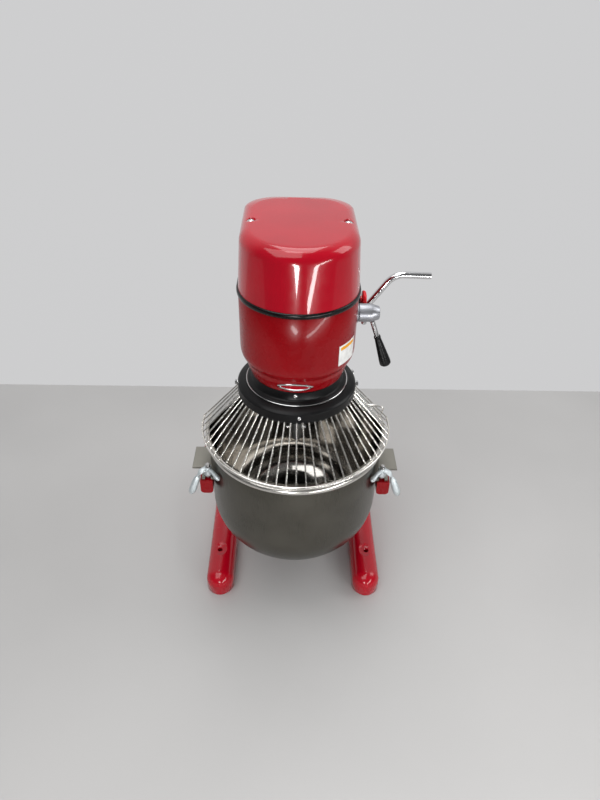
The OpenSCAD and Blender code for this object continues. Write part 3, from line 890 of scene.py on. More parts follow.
@dataclass
class Base:
    """Cast base: two legs with rounded noses and a cross block under the column.

    The ridge holds distances from the axis and heights of a leg's top, from the nose to the back.
    """

    leg_inner: float = 146.0
    leg_outer: float = 212.0
    tip: float = -134.0
    back: float = 325.0
    nose_height: float = 26.0
    nose_round: float = 30.0
    ridge: tuple[tuple[float, float], ...] = (
        (-104.0, 56.0), (10.0, 58.0), (120.0, 66.0), (230.0, 80.0), (325.0, 80.0),
    )
    edge: float = 29.5
    spot_face: float = 17.0
    bolt_front: float = -40.0
    bolt_back: float = 270.0
    bolt_side: float = 184.0
    bolt_radius: float = 5.5
    front_floor: float = 55.5
    back_floor: float = 78.0
    block_front: float = 222.0
    block_top: float = 80.0
    block_lap: float = 20.0

    def height(self, y: float) -> float:
        """Gives the height of a leg's top.

        Args:
            y: distance from the axis in millimetres.

        Returns:
            The height in millimetres.
        """
        start = self.ridge[0][0]
        if y < start:
            return self.nose_height + math.sqrt(max(0.0, self.nose_round**2 - (start - y) ** 2))
        for (y0, z0), (y1, z1) in zip(self.ridge, self.ridge[1:]):
            if y <= y1:
                t = (y - y0) / (y1 - y0)
                return z0 + (z1 - z0) * t
        return self.block_top

    def section(self, y: float) -> Ring:
        """Gives a cross-section of the right leg, flat below and rounded above.

        Args:
            y: distance from the axis in millimetres.

        Returns:
            The outline as frame points.
        """
        half = (self.leg_outer - self.leg_inner) / 2
        centre = (self.leg_outer + self.leg_inner) / 2
        nose = self.tip + half
        if y < nose:
            half = math.sqrt(max(0.5, half**2 - (nose - y) ** 2))
        top = self.height(y)
        r = min(self.edge, half * 0.98, top * 0.6)
        outline = [
            (centre - half, 1.5), (centre - half + 1.5, 0.0), (centre + half - 1.5, 0.0), (centre + half, 1.5),
        ]
        outline += arc_points((centre + half - r, top - r), r, 0, 90, 9)
        outline += arc_points((centre - half + r, top - r), r, 90, 180, 9)
        return [at(x, y, z) for x, z in outline]

    def build(self) -> None:
        """Builds the casting and dresses it."""
        bm = bmesh.new()
        half = (self.leg_outer - self.leg_inner) / 2
        stations = [self.tip + 0.25 + half * (1 - math.cos(math.radians(a))) for a in range(0, 91, 6)]
        stations += [self.tip + half + 6 * i for i in range(1, 19)]
        stations += [20, 40, 80, 120, 150, 180, 205, 230, 260, 290, 315, self.back]
        for side in (1, -1):
            rings = []
            for y in stations:
                ring = self.section(y)
                rings.append([Vector((p.x * side, p.y, p.z)) for p in ring])
            loft_into(bm, rings)
        bmesh.ops.recalc_face_normals(bm, faces=bm.faces)
        piece = from_bmesh("base_casting_body", bm, [RED_BASE], 50.0)
        cutters = []
        for side in (1, -1):
            for y in (self.bolt_front, self.bolt_back):
                r, top, bore = self.spot_face, self.height(y), self.bolt_radius
                floor = self.front_floor if y < 0 else self.back_floor
                profile = [
                    (0, -3), (bore, -3), (bore, floor - 1.5), (bore + 1.3, floor), (r - 1.4, floor),
                    (r - 0.5, floor + 0.6), (r, top - 0.8), (r + 1.2, top + 0.2), (r + 4, top + 6), (0, top + 6),
                ]
                place = at(side * self.bolt_side, y, 0)
                cutters.append(turned(f"hole_{side}_{y:.0f}", profile, place, [RED_BASE], steps=40))
        carve(piece, cutters)
        block = bmesh.new()
        half_block = self.leg_inner + self.block_lap
        rounded_box_into(
            block, (-half_block, self.block_front, 0.4), (half_block, self.back - 1.2, self.block_top - 0.6),
        )
        cross = eased(from_bmesh("base_cross_block", block, [RED_BASE]), 9.0, 4)
        publish(piece, "frame", ["base_casting"])
        publish(cross, "frame", [])


@dataclass
class Column:
    """Column with its slide, lift gear and rear cover."""

    edge: float = 3.0

    def build(self) -> None:
        """Builds the softened pieces and dresses the small ones."""
        softened("column_casting", "column", "frame", RED_CAST, self.edge)
        softened("rear_cover_sheet", "rear_cover", "frame", RED, 0.8)
        softened("slide_rail_pair", "slide_rails", "frame", RAIL, 1.0, 2)
        bm = bmesh.new()
        for side in (-1, 1):
            for y in (252, 300):
                hex_into(bm, at(side * 72, y, 92), Vector((0, 0, 1)), 9.0, 7.0)
        publish(from_bmesh("column_bolt_heads", bm, [BRIGHT]), "frame", ["column_bolts"])
        bm = bmesh.new()
        for side in (-1, 1):
            for z in (378, 562):
                dome_screw_into(bm, at(side * 41, 317, z), Vector((0, 1, 0)), 4.5, 2.4, 2.4)
        publish(from_bmesh("rear_cover_screw_heads", bm, [BRIGHT]), "frame", ["rear_cover_screws"])
        dress("lift_bushes", BRONZE)
        dress("lift_shaft", GROUND)
        dress("lift_pinion", CUT_STEEL)
        softened("lift_rack_bar", "lift_rack", "carriage", RAIL, 0.3, 1)


@dataclass
class Head:
    """Head: lower casting, trim strip, top cover and what is fixed to them."""

    radius: float = 113.0
    back: float = 254.0
    corner: float = 60.0
    bottom: float = 620.0
    joint: float = 757.0
    strip: float = 9.0
    top: float = 876.0
    draft: float = 6.5
    crown: float = 21.0
    screw_x: float = 88.0
    screw_y: float = 36.0
    screw_seat: float = 872.0
    side_screw_y: float = 12.0
    side_screw_heights: tuple[float, float] = (655.0, 790.0)
    shoulder: float = 62.0
    shoulder_outline: tuple[tuple[float, float], ...] = ((200, 620), (314, 620), (314, 698), (253, 754), (200, 754))

    def level(self, radius: float, back: float, corner: float, z: float) -> Ring:
        """One level outline of the head as frame points."""
        return [at(x, y, z) for x, y in head_outline(radius, back, corner)]

    def cover_ring(self, share: float) -> Ring:
        """Gives a level outline of the cover, whose back is a quarter round and whose crown is eased.

        Args:
            share: share of the cover's height, from 0 at the joint to 1 at the top.

        Returns:
            The outline as frame points.
        """
        low = self.joint + self.strip
        rise = self.top - low
        z = low + rise * share
        drop = 0.0
        over = z - (self.top - self.crown)
        if over > 0:
            drop = self.crown - math.sqrt(max(0.0, self.crown**2 - over**2))
        radius = self.radius - self.draft * share - drop
        back = self.back - rise + math.sqrt(max(0.0, rise**2 - (z - low) ** 2))
        back = max(back, self.back - rise + 14)
        return self.level(radius, back, min(self.corner, radius - 12), z)

    def build_cover(self) -> None:
        """Builds the top cover with its two screw recesses."""
        shares = [0.0, 0.004] + [math.sin(math.radians(a)) for a in range(4, 87, 4)] + [0.9985, 1.0]
        rings = [self.cover_ring(share) for share in shares]
        last = rings[-1]
        middle = at(0, 40, self.top)
        rings += [[middle + (p - middle) * pull for p in last] for pull in (0.93, 0.8, 0.6, 0.35, 0.12)]
        bm = bmesh.new()
        loft_into(bm, rings)
        piece = from_bmesh("top_cover_shell", bm, [RED], 60.0)
        cutters = []
        for side in (-1, 1):
            profile = [(0, 0), (7.8, 0), (8.6, 0.8), (8.8, 3), (10.5, 5), (14, 9), (0, 9)]
            place = at(side * self.screw_x, self.screw_y, self.screw_seat)
            cutters.append(turned(f"recess_{side}", profile, place, [RED], steps=48))
        carve(piece, cutters)
        publish(piece, "frame", ["top_cover"])

    def build_strip(self) -> None:
        """Builds the rubber strip in the joint."""
        section = [(-6, -0.4), (1.2, -0.4), (2.5, 0.8), (3.0, 2.8), (3.0, 6.4), (2.5, 8.6), (1.2, 9.6), (-6, 9.6)]
        rings = [
            self.level(self.radius + out, self.back + out, self.corner + out, self.joint + z)
            for out, z in section
        ]
        bm = bmesh.new()
        loft_into(bm, rings, loop=True)
        publish(from_bmesh("trim_strip_rubber", bm, [RUBBER], 60.0), "frame", ["trim_strip"])

    def build_casting(self) -> None:
        """Builds the lower casting, its neck and the shoulder over the column."""
        insets = (
            (30, 620.2), (12, 620.6), (9.0, 622.0), (6.2, 624.6), (3.6, 628.4), (1.8, 632.6), (0.7, 637.4),
            (0.15, 642.6), (0, 648.0), (0, 700.0), (0, 755.4), (0.9, 757.0),
        )
        rings = [
            self.level(self.radius - inset, self.back - inset, self.corner - inset, z)
            for inset, z in insets
        ]
        bm = bmesh.new()
        loft_into(bm, rings)
        neck = [
            (86, 586.0), (92.4, 586.0), (93.4, 586.8), (94.0, 588.6), (95.8, 594), (99.4, 604), (101.6, 610.5),
            (102.4, 614.5), (102.8, 617.6), (103.6, 619.6), (105.6, 621.0), (106.5, 624),
        ]
        turn_into(bm, neck, at(0, 0, 0), steps=96)
        casting = from_bmesh("head_casting", bm, [RED_CAST], 50.0)
        bm = bmesh.new()
        sides = (-self.shoulder, self.shoulder)
        loft_into(bm, [[at(x, y, z) for y, z in self.shoulder_outline] for x in sides])
        shoulder = eased(from_bmesh("head_shoulder", bm, [RED_CAST]), 9.0, 4)
        publish(casting, "frame", ["head_housing"])
        publish(shoulder, "frame", [])

    def build_screws(self) -> None:
        """Builds the cover's screws and the small side screws."""
        bm = bmesh.new()
        for s in (-1, 1):
            seat = at(s * self.screw_x, self.screw_y, self.screw_seat)
            turn_into(bm, [(0, 0), (7.6, 0), (7.7, 0.3), (7.6, 0.9), (7.2, 1.1), (0, 1.1)], seat, steps=48)
            dome_screw_into(bm, seat + Vector((0, 0, 1.0 * MM)), Vector((0, 0, 1)), 6.6, 2.9, 3.2)
        low = self.joint + self.strip
        for z in self.side_screw_heights:
            edge = self.radius - max(0.0, self.draft * (z - low) / (self.top - low)) - 0.3
            dome_screw_into(bm, at(edge, self.side_screw_y, z), Vector((1, 0, 0)), 4.0, 2.6, 2.2)
        publish(from_bmesh("head_screw_heads", bm, [CHROME], 30.0), "frame", ["head_screws"])

    def build_badge(self) -> None:
        """Builds the blank oval badge on the neck."""
        bm = bmesh.new()
        wide, tall, count = 35.0, 11.0, 72
        middle_z, turn = 602.5, math.radians(-2.6)

        def on_neck(u: float, v: float, out: float) -> Vector:
            """Gives a point on the badge.

            Args:
                u: share of the half width, to the right.
                v: share of the half height, upwards.
                out: distance out from the neck in millimetres.

            Returns:
                The point in metres.
            """
            x = wide * u
            z = middle_z + tall * v
            skin = 93.1 + (z - 586.0) * 0.352
            angle = x / skin + turn
            return at((skin + out) * math.sin(angle), -(skin + out) * math.cos(angle), z)

        def lens(share: float, out: float) -> Ring:
            """Gives one pointed oval ring of the badge.

            Args:
                share: size of the ring, 1 at the badge's edge.
                out: distance out from the neck in millimetres.

            Returns:
                The ring as frame points.
            """
            ring = []
            for i in range(count):
                a = 2 * math.pi * i / count
                u = math.copysign(abs(math.cos(a)) ** 1.15, math.cos(a))
                v = math.copysign(abs(math.sin(a)) ** 1.25, math.sin(a))
                ring.append(on_neck(u * share, v * (share - (1 - share) * 1.2), out))
            return ring

        stages = (
            (1.0, -0.4, 0), (1.0, 1.2, 0), (0.97, 2.0, 0), (0.92, 2.4, 0), (0.85, 2.4, 0), (0.80, 2.0, 0),
            (0.775, 1.1, 0), (0.74, 1.05, 1), (0.6, 1.2, 1), (0.3, 1.25, 1),
        )
        loft_into(
            bm, [lens(share, out) for share, out, _ in stages], caps=(False, True),
            tints=[tint for *_, tint in stages[1:]],
        )
        for face in bm.faces:
            if len(face.verts) > 4:
                face.material_index = 1
        publish(from_bmesh("oval_badge", bm, [CHROME, BADGE_FIELD], 35.0), "frame", ["badge_plate"])

    def build_label(self) -> None:
        """Builds the blank label with its orange band."""
        low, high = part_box("blank_label")
        centre = at(0, 0, 0)
        spans = [math.atan2(corner.y - centre.y, corner.x - centre.x) for corner in (low, high)]
        skin = self.radius + 0.45
        start, end = min(spans), max(spans)
        z_low, z_high = low.z / MM, high.z / MM
        bm = bmesh.new()
        across, up = 12, 12
        grid = []
        for j in range(up + 1):
            z = z_low + (z_high - z_low) * j / up
            turns = [start + (end - start) * i / across for i in range(across + 1)]
            grid.append([at(skin * math.cos(turn), skin * math.sin(turn), z) for turn in turns])
        rows = [[bm.verts.new(p) for p in row] for row in grid]
        for j in range(up):
            for i in range(across):
                face = bm.faces.new((rows[j][i], rows[j][i + 1], rows[j + 1][i + 1], rows[j + 1][i]))
                face.material_index = 1 if j in (9, 10) and 0 < i < across - 1 else 0
        piece = from_bmesh("side_label", bm, [PAPER, ORANGE], 60.0)
        thick = piece.modifiers.new("film", "SOLIDIFY")
        thick.thickness = 0.35 * MM
        thick.offset = 0.0
        publish(settled(piece), "frame", ["blank_label"])

    def build(self) -> None:
        """Builds every piece of the head."""
        self.build_cover()
        self.build_strip()
        self.build_casting()
        self.build_screws()
        self.build_badge()
        self.build_label()
        dress("gearbox_plate", ALUMINIUM)
        dress("motor_shell", ALUMINIUM)
        dress("motor_stator", COPPER)
        dress("motor_rotor", GROUND)
        dress("motor_fan", RUBBER)
        dress("shaft_bearings", GROUND)
        for node in ("ring_gear", "main_gear", "lay_gear", "lay_pinion", "motor_pinion", "planet_pinion"):
            dress(node, CUT_STEEL)
        dress("layshaft", GROUND)
        dress("main_shaft", GROUND)
        softened("cord_gland", "cable_gland", "frame", RUBBER, 0.8, 2)


@dataclass
class NeckAndGuard:
    """Fixed neck ring, turning collar and the wire guard on it."""

    collar: float = 121.8
    ring_radius: float = 202.4
    ring_height: float = 440.0
    wires: int = 35
    spread: float = 190.0
    wire: float = 1.6
    ring_wire: float = 2.4
    handle_wire: float = 2.0
    collar_screw_z: float = 545.0
    round_screw_at: float = -88.0
    hex_screws_at: tuple[float, ...] = (-180.0, 0.0, 19.0)

    def build_neck(self) -> None:
        """Builds the fixed ring, its bright retaining ring and its screws."""
        centre = at(0, 0, 0)
        profile = [
            (86, 524), (112, 524), (113, 525), (113, 529.5), (110.5, 533.4), (101.6, 533.6), (101.3, 535),
            (101.3, 562.4), (100.2, 563.8), (97, 564.6), (93.5, 566.2), (92.2, 568.5), (92, 584.2), (91.2, 585),
            (86, 585), (86, 524),
        ]
        publish(turned("neck_ring_black", profile, centre, [BLACK_COAT], steps=128), "frame", ["neck_ring"])
        profile = [
            (101.5, 560.4), (103.6, 560.4), (104.0, 560.9), (104.0, 562.0), (103.4, 562.6), (102.0, 562.6),
            (101.5, 562.2), (101.5, 560.4),
        ]
        publish(turned("retaining_ring_bright", profile, centre, [BRIGHT], steps=128), "frame", ["retaining_ring"])
        bm = bmesh.new()
        for quarter in range(4):
            angle = math.radians(90 * quarter - 92)
            way = Vector((math.cos(angle), math.sin(angle), 0))
            dome_screw_into(bm, at(91.8 * way.x, 91.8 * way.y, 576), way, 4.8, 3.0, 0.0)
        publish(from_bmesh("neck_screw_heads", bm, [BRIGHT], 30.0), "frame", ["neck_screws"])
        dress("rear_guard", SHEET)

    def build_collar(self) -> None:
        """Builds the turning collar with its chamfer and screws."""
        outer = self.collar
        profile = [
            (101.6, 534.2), (102.4, 534.0), (outer - 1, 534.0), (outer, 535.0), (outer, 552.2),
            (outer - 0.5, 553.2), (outer - 3.6, 556.2), (outer - 4.4, 556.7), (106.2, 559.7), (105.4, 560.0),
            (102.2, 560.0), (101.6, 559.4), (101.6, 534.2),
        ]
        piece = turned("collar_black", profile, at(0, 0, 0), [BLACK_COAT], steps=144, sharp=18.0)
        publish(piece, "guard", ["guard_collar"])
        bm = bmesh.new()
        for degrees in (self.round_screw_at, *self.hex_screws_at):
            angle = math.radians(degrees)
            way = Vector((math.cos(angle), math.sin(angle), 0))
            seat = at(outer * way.x, outer * way.y, self.collar_screw_z)
            if degrees == self.round_screw_at:
                dome_screw_into(bm, seat, way, 4.2, 3.2, 0.0)
            else:
                hex_into(bm, seat - way * 0.2 * MM, way, 5.4, 6.4)
        publish(from_bmesh("collar_screw_heads", bm, [BRIGHT], 30.0), "guard", ["collar_screws"])

    def build_wires(self) -> None:
        """Builds the slanting wires, the bottom ring and the handle."""
        paths = []
        for i in range(self.wires):
            angle = math.radians(-90 - self.spread / 2 + i * self.spread / (self.wires - 1))
            c, s = math.cos(angle), math.sin(angle)
            corner = ((self.ring_radius - 0.6, self.ring_height + 1.0), (121.5, 533.2), (117.5, 538.5))
            paths.append(bent_path([at(r * c, r * s, z) for r, z in corner], 5 * MM, 5))
        publish(wire_object("guard_wire_set", paths, self.wire * MM, WIRE), "guard", ["guard_wires"])
        loop = []
        steps = 140
        reach = self.spread + 2
        for i in range(steps + 1):
            angle = math.radians(-90 - reach / 2 + reach * i / steps)
            x, y = self.ring_radius * math.cos(angle), self.ring_radius * math.sin(angle)
            loop.append(at(x, y, self.ring_height))
        publish(wire_object("guard_ring_wire", [loop], self.ring_wire * MM, WIRE, 6), "guard", ["guard_ring"])
        corners = [
            at(148.5, -16.1, 500), at(166, -18.1, 501.5), at(184.4, -20.0, 497), at(182.6, -19.8, 484),
            at(174.9, -18.9, 470),
        ]
        piece = wire_object("guard_handle_wire", [bent_path(corners, 6 * MM)], self.handle_wire * MM, WIRE)
        publish(piece, "guard", ["guard_handle"])

    def build(self) -> None:
        """Builds the ring, the collar and the wires."""
        self.build_neck()
        self.build_collar()
        self.build_wires()


@dataclass
class PlanetaryHead:
    """Carrier and tool shaft under the neck."""

    edge: float = 1.5

    def build(self) -> None:
        """Rounds and dresses the pieces that show from below."""
        softened("planet_carrier_body", "planet_carrier", "planetary", BLACK_IRON, self.edge, 2)
        softened("tool_shaft_bar", "tool_shaft", "tool_spindle", GROUND, 0.6, 2)
        softened("cross_pin", "bayonet_pin", "tool_spindle", BRIGHT, 0.6, 2)
        dress("planet_bearings", GROUND)


@dataclass
class Selector:
    """Speed selector on the right side of the head."""

    y: float = 25.0
    z: float = 697.0
    start: float = 118.5
    end: float = 160.0
    radius: float = 18.0
    rod_x: float = 147.0
    rod_below: float = 16.0
    rod_length: float = 54.0
    rod_radius: float = 5.0
    rod_way: tuple[float, float, float] = (22.5, 0.0, -61.0)
    grip_from: float = 38.0

    def build(self) -> None:
        """Builds the flange, hub, rod, grip and bolt."""
        centre = at(0, self.y, self.z)
        flange = [(0, 105), (12, 105), (12, 111), (20, 111.2), (20, 116.6), (19, 117.8), (8, 118.2), (0, 118.2)]
        piece = turned("selector_flange_disc", flange, centre, [SILVER], Turned.ACROSS)
        publish(piece, "frame", ["selector_flange"])
        r = self.radius
        hub = [
            (0, self.start), (r - 1.5, self.start), (r, self.start + 1.5), (r, 143), (r - 0.6, 145.5),
            (13.4, self.end - 1.8), (12.2, self.end - 0.4), (10.6, self.end), (0, self.end),
        ]
        publish(turned("selector_hub_body", hub, centre, [SILVER], Turned.ACROSS, 72), "selector", ["selector_hub"])
        root = at(self.rod_x, self.y, self.z - self.rod_below)
        way = Vector(self.rod_way).normalized()
        line = [root + way * 2 * MM, root + way * self.rod_length * MM]
        rod = wire_object("selector_rod_bar", [line], self.rod_radius * MM, BRIGHT, 8)
        publish(rod, "selector", ["selector_rod"])
        self.build_grip(root + way * self.grip_from * MM, way)
        bm = bmesh.new()
        hex_into(bm, at(self.start + 13, self.y, self.z - r - 0.5), Vector((0, 0, -1)), 5.5, 6.0)
        publish(from_bmesh("hub_bolt_head", bm, [BRIGHT], 30.0), "selector", ["hub_bolt"])
        dress("selector_shaft", GROUND)

    def build_grip(self, root: Vector, way: Vector) -> None:
        """Builds the fluted black grip.

        Args:
            root: grip's upper end in metres.
            way: direction from its upper end to its tip.
        """
        profile = [
            (0, 0), (5.6, 0), (6.6, 0.8), (7.0, 2.5), (7.0, 5.5), (6.4, 6.6), (6.6, 8), (8.2, 22), (10.2, 44),
            (11.8, 60), (12.2, 66), (11.6, 70), (9.4, 72.6), (6.0, 74.0), (0, 74.4),
        ]

        def flute(angle: float, height: float) -> float:
            """Gives the flutes' depth, which fades out at both ends of the grip.

            Args:
                angle: turn about the grip in radians.
                height: distance from its upper end in millimetres.

            Returns:
                Extra radius in millimetres, 0 or less.
            """
            fade = max(0.0, min(1.0, (height - 9) / 6)) * max(0.0, min(1.0, (70 - height) / 6))
            return -0.75 * fade * (0.5 + 0.5 * math.cos(8 * angle)) ** 2

        bm = bmesh.new()
        turn_into(bm, profile, Vector((0, 0, 0)), Turned.UP, 96, flute=flute)
        leaning = Matrix.Translation(root) @ way.to_track_quat("Z", "Y").to_matrix().to_4x4()
        bmesh.ops.transform(bm, matrix=leaning, verts=bm.verts)
        publish(from_bmesh("selector_grip_fluted", bm, [GRIP], 45.0), "selector", ["selector_grip"])


@dataclass
class StopSwitch:
    """Mushroom stop button on its black base."""

    y: float = 75.0
    z: float = 699.0

    def build(self) -> None:
        """Builds the base and the button."""
        centre = at(0, self.y, self.z)
        base = [(0, 98), (11, 98), (11, 111), (20, 111.2), (20, 122.5), (18.6, 124.6), (9, 125), (0, 125)]
        publish(turned("stop_base", base, centre, [RUBBER], Turned.ACROSS), "frame", ["stop_switch_base"])
        button = [
            (0, 106), (8, 106), (8, 130), (17.5, 130), (18.8, 131), (19, 133), (18.6, 135.2), (17.2, 137),
            (13.5, 138.3), (8, 138.9), (0, 139),
        ]
        piece = turned("stop_mushroom", button, centre, [SWITCH_RED], Turned.ACROSS, 72, sharp=60.0)
        publish(piece, "stop", ["stop_button"])


@dataclass
class LiftLever:
    """Bent lever on the lift shaft."""

    shaft_y: float = 268.0
    shaft_z: float = 461.0
    diameter: float = 16.0
    corners: tuple[tuple[float, float], ...] = ((89.0, 467.0), (226.0, 666.0), (312.0, 664.0))
    bend: float = 26.0

    def build(self) -> None:
        """Builds the boss and the bent bar."""
        path = bent_path([at(x, self.shaft_y, z) for x, z in self.corners], self.bend * MM, 14)
        bar = wire_object("lever_bar", [path], self.diameter / 2 * MM, CHROME, 10)
        boss = [(9.2, 74), (13.8, 74), (15, 75.2), (15, 94.8), (13.8, 96), (9.2, 96), (9.2, 74)]
        hub = turned("lever_boss", boss, at(0, self.shaft_y, self.shaft_z), [CHROME], Turned.ACROSS)
        publish(bar, "lift", ["lift_lever"])
        publish(hub, "lift", [])


@dataclass
class BowlCarriage:
    """Bowl, its band and brackets, the yoke that carries it and the clamps."""

    radius: float = 189.0
    wall: float = 2.0
    top: float = 434.0
    bottom: float = 125.0
    corner: float = 124.0
    stud_x: float = 188.0
    stud_y: float = -76.0
    plate: float = 347.0
    stud: float = 5.0
    thread_from: float = 366.0
    thread_to: float = 380.0
    thread_pitch: float = 1.5
    thread_root: float = 4.45

    def build_bowl(self) -> None:
        """Builds the bowl with a satin outside darkened by painted shade and a polished inside."""
        r, c = self.radius, self.corner
        outside = [(0, self.bottom)] + arc_points((r - c, self.bottom + c), c, 270, 360, 26)
        outside += [(r, 300), (r, 360), (r, self.top - 0.6)]
        rim = [(r - 0.3, self.top), (r - self.wall + 0.3, self.top)]
        inner = c - self.wall
        inside = [(r - self.wall, self.top - 0.6), (r - self.wall, 360), (r - self.wall, 300)]
        inside += arc_points((r - c, self.bottom + c), inner, 360, 270, 26) + [(0, self.bottom + self.wall)]
        profile = outside + rim + inside
        tints = [0] * (len(outside) + 1) + [1] * (len(profile) - len(outside) - 2)
        piece = turned("bowl_shell", profile, at(0, 0, 0), [BOWL_OUT_PAINTED_SHADE, BOWL_IN], steps=160, tints=tints, sharp=50.0)
        publish(piece, "carriage", ["bowl"])
        low = self.top - 25
        band = [(r, low)] + arc_points((r - 1.3, low + 8.2), 8.6, -72, 52, 16)
        band += arc_points((r + 3.1, self.top - 4.4), 4.3, -70, 118, 14) + [(r, self.top - 0.9), (r, low)]
        piece = turned("bowl_band", band, at(0, 0, 0), [BAND], steps=160, sharp=50.0)
        publish(piece, "carriage", ["bowl_rim_band"])

    def build_clamp(self, side: int) -> None:
        """Builds one two-armed clamp nut.

        Args:
            side: 1 for the right clamp, -1 for the left one.
        """
        seat = at(side * self.stud_x, self.stud_y, self.plate + 8.3)

        def spot(x: float, y: float, z: float) -> Vector:
            """Point of the clamp, mirrored for the left one."""
            return seat + Vector((x * side, y, z)) * MM

        bm = bmesh.new()
        sides = 12
        arms = (
            (
                [
                    (0, 0, 13), (7, -4, 15), (13, -7.5, 14), (18, -10, 9.5), (22, -12.2, 0), (26.5, -14.7, -11),
                    (31, -17.3, -23), (34.5, -19.2, -32.5), (36.8, -20.4, -39), (38, -21.2, -43),
                ],
                [7.5, 7.4, 7.2, 7.4, 7.4, 7.8, 8.4, 8.2, 6.4, 1.4],
            ),
            (
                [
                    (0, 0, 12), (-5, -7, 15), (-10, -13, 16.5), (-14.5, -19, 17), (-19, -25.5, 16.8),
                    (-23, -31, 16.3), (-26.4, -35.6, 15.8), (-28, -38, 15.4),
                ],
                [6.5, 5.6, 4.8, 4.8, 5.6, 6.4, 5.0, 1.2],
            ),
        )
        for points, sizes in arms:
            spots = [spot(*p) for p in points]
            rings = []
            for i, (point, size) in enumerate(zip(spots, sizes)):
                ahead = (spots[min(i + 1, len(spots) - 1)] - spots[max(i - 1, 0)]).normalized()
                wide = ahead.cross(Vector((0, 0, 1)) if abs(ahead.z) < 0.9 else Vector((0, 1, 0))).normalized()
                thin = ahead.cross(wide).normalized()
                ring = []
                for k in range(sides):
                    a = 2 * math.pi * k / sides
                    ring.append(point + (wide * math.cos(a) * size * 1.02 + thin * math.sin(a) * size * 0.68) * MM)
                rings.append(ring)
            loft_into(bm, rings)
        hub = [(5.2, 0), (9.4, 0), (10, 0.8), (9.6, 8), (8.4, 17), (7.6, 19.4), (5.2, 20), (5.2, 0)]
        turn_into(bm, hub, seat, steps=24)
        name = "clamp_nut_right" if side > 0 else "clamp_nut_left"
        piece = from_bmesh(f"{name}_cast", bm, [ZINC], 70.0)
        smooth = piece.modifiers.new("round", "SUBSURF")
        smooth.levels = smooth.render_levels = 2
        publish(settled(piece), "nut_right" if side > 0 else "nut_left", [name])

    def build_studs(self) -> None:
        """Builds the clamp studs with their collars and threads."""
        bm = bmesh.new()
        for side in (-1, 1):
            centre = at(side * self.stud_x, self.stud_y, 0)
            profile = [(0, 318), (self.stud, 318), (self.stud, self.thread_from)]
            z = self.thread_from
            while z < self.thread_to:
                profile += [(self.stud, z), (self.thread_root, z + self.thread_pitch / 2)]
                z += self.thread_pitch
                profile.append((self.stud, z))
            profile += [(4.2, 382), (0, 382)]
            turn_into(bm, profile, centre, steps=24)
            turn_into(bm, [(5, 352), (9.5, 352), (9.5, 354.4), (9.0, 355), (5, 355)], centre, steps=40)
        publish(from_bmesh("clamp_stud_pair", bm, [BRIGHT], 30.0), "carriage", ["clamp_studs"])

    def build(self) -> None:
        """Builds the bowl, the carriage and both clamps."""
        self.build_bowl()
        softened("yoke_casting", "yoke", "carriage", RED_CAST, 3.5, 4)
        softened("bowl_bracket_plates", "bowl_brackets", "carriage", PLATE, 0.7, 2)
        self.build_studs()
        self.build_clamp(1)
        self.build_clamp(-1)


@dataclass(frozen=True)
class Lamp:
    """One soft panel: where it stands, what it faces, its long side's direction, its size and power."""

    name: str
    place: Point
    aim: Point
    along: Point
    size: tuple[float, float]
    watts: float


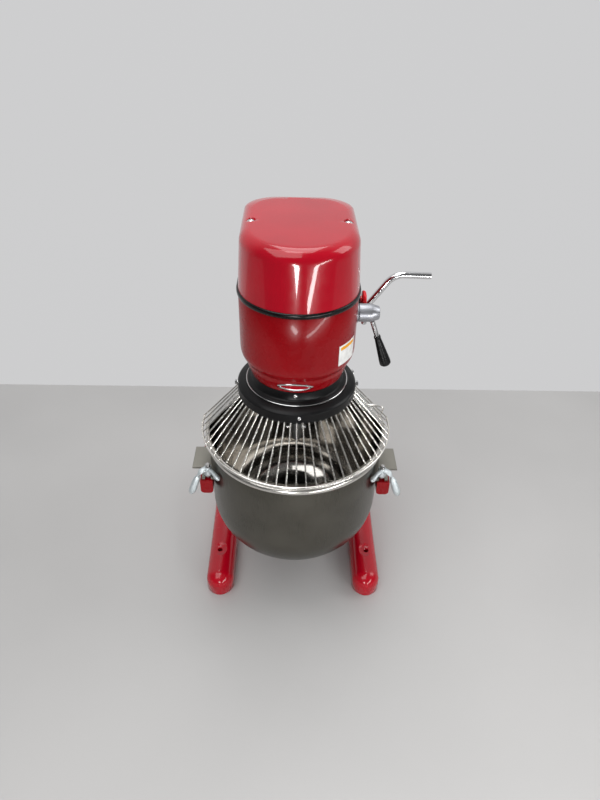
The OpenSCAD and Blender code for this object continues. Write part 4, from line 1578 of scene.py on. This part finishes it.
@dataclass
class Studio:
    """Floor, lights, surroundings and the camera.

    Lengths here are metres, angles are degrees and the lens is in millimetres. A pair of sky_levels is a place
    from front to back and its brightness.
    """

    pitch: float = 37.0043
    heading: float = 1.4535
    roll: float = 1.5612
    eye: tuple[float, float, float] = (-0.01755, -1.12162, 1.25787)
    lens: float = 26.66
    floor_near: float = -1.05
    floor_far: float = 0.62
    lamps: list[Lamp] = field(
        default_factory=lambda: [
            Lamp("key_panel", (-0.9, -1.1, 2.9), (0.0, 0.0, 0.5), (1, 0, 0), (2.6, 2.2), 46.0),
            Lamp("side_panel", (2.4, 0.2, 2.2), (0.0, 0.0, 0.5), (0, 1, 0), (1.6, 1.4), 22.0),
            Lamp("top_panel", (0.0, 0.5, 3.2), (0.0, 0.1, 0.7), (1, 0, 0), (2.4, 1.4), 40.0),
            Lamp("left_strip", (-0.20, -1.75, 0.42), (-0.008, -0.22, 0.83), (-0.74, 0.0, 0.67), (0.18, 0.36), 7.5),
            Lamp("right_strip", (0.86, -1.30, 0.52), (0.04, -0.21, 0.83), (0.75, 0.44, 0.49), (0.085, 1.25), 9.0),
        ]
    )
    sky_levels: tuple[tuple[float, float], ...] = ((0.0, 0.13), (0.45, 0.15), (0.72, 0.60), (1.0, 0.62))

    def build_floor(self) -> None:
        """Builds the floor, which ends a little way behind the mixer."""
        bm = bmesh.new()
        rows = (self.floor_near, -0.4, 0.1, self.floor_far)
        rings = [[Vector((x, y, 0.0)) for x in (-4.0, -1.5, 1.5, 4.0)] for y in rows]
        loft_into(bm, rings, closed=False, caps=(False, False))
        from_bmesh("floor", bm, [FLOOR], 60.0)

    def build_lamps(self) -> None:
        """Places the soft panels and the two strips that the enamel mirrors."""
        for lamp in self.lamps:
            light = bpy.data.lights.new(lamp.name, "AREA")
            light.shape = "RECTANGLE"
            light.size, light.size_y = lamp.size
            light.energy = lamp.watts
            item = bpy.data.objects.new(lamp.name, light)
            away = (Vector(lamp.place) - Vector(lamp.aim)).normalized()
            side = Vector(lamp.along).cross(away).normalized()
            turn = Matrix((side, away.cross(side), away)).transposed().to_4x4()
            item.matrix_world = Matrix.Translation(lamp.place) @ turn
            item.visible_camera = False
            bpy.context.scene.collection.objects.link(item)

    def build_world(self) -> None:
        """Makes a soft sky, brighter behind and above, darker in front."""
        world = bpy.data.worlds.new("soft_room")
        world.use_nodes = True
        nodes, links = world.node_tree.nodes, world.node_tree.links
        place = nodes.new("ShaderNodeTexCoord")
        split = nodes.new("ShaderNodeSeparateXYZ")
        ramp = nodes.new("ShaderNodeValToRGB")
        span = nodes.new("ShaderNodeMapRange")
        span.inputs["From Min"].default_value = -1.0
        lift = nodes.new("ShaderNodeMapRange")
        for key, value in (("From Min", 0.25), ("From Max", 0.6), ("To Min", 1.0), ("To Max", 1.12)):
            lift.inputs[key].default_value = value
        while len(ramp.color_ramp.elements) < len(self.sky_levels):
            ramp.color_ramp.elements.new(0.5)
        for element, (spot, level) in zip(ramp.color_ramp.elements, self.sky_levels):
            element.position = spot
            element.color = (level, level, level * 1.01, 1.0)
        links.new(place.outputs["Generated"], split.inputs["Vector"])
        links.new(split.outputs["Y"], span.inputs["Value"])
        links.new(split.outputs["Z"], lift.inputs["Value"])
        links.new(span.outputs["Result"], ramp.inputs["Fac"])
        links.new(ramp.outputs["Color"], nodes["Background"].inputs["Color"])
        links.new(lift.outputs["Result"], nodes["Background"].inputs["Strength"])
        bpy.context.scene.world = world

    def build_camera(self) -> None:
        """Sets the camera at a standing operator's eye, looking down at the mixer."""
        p, h, r = (math.radians(v) for v in (self.pitch, self.heading, self.roll))
        ahead = Vector((math.sin(h) * math.cos(p), math.cos(h) * math.cos(p), -math.sin(p)))
        level = Vector((math.cos(h), -math.sin(h), 0))
        over = Vector((math.sin(h) * math.sin(p), math.cos(h) * math.sin(p), math.cos(p)))
        right = level * math.cos(r) + over * math.sin(r)
        up = over * math.cos(r) - level * math.sin(r)
        data = bpy.data.cameras.new("operator_view")
        data.sensor_width = 36.0
        data.lens = self.lens
        data.clip_end = 60.0
        camera = bpy.data.objects.new("operator_view", data)
        camera.matrix_world = Matrix.Translation(self.eye) @ Matrix((right, up, -ahead)).transposed().to_4x4()
        bpy.context.scene.collection.objects.link(camera)
        bpy.context.scene.camera = camera

    def build(self) -> None:
        """Builds the whole studio."""
        self.build_camera()
        self.build_floor()
        self.build_lamps()
        self.build_world()
        scene = bpy.context.scene
        scene.view_settings.view_transform = "Standard"
        scene.view_settings.exposure = 0.0


def main() -> None:
    """Builds the sub-assemblies in order."""
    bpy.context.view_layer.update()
    Studio().build()
    for assembly in (
        Base(), Column(), Head(), NeckAndGuard(), PlanetaryHead(), Selector(), StopSwitch(), LiftLever(),
        BowlCarriage(),
    ):
        log.info("building %s", type(assembly).__name__)
        assembly.build()
    bpy.context.view_layer.update()


if __name__ == "__main__":
    logging.basicConfig(level=logging.INFO, format="%(message)s")
    main()
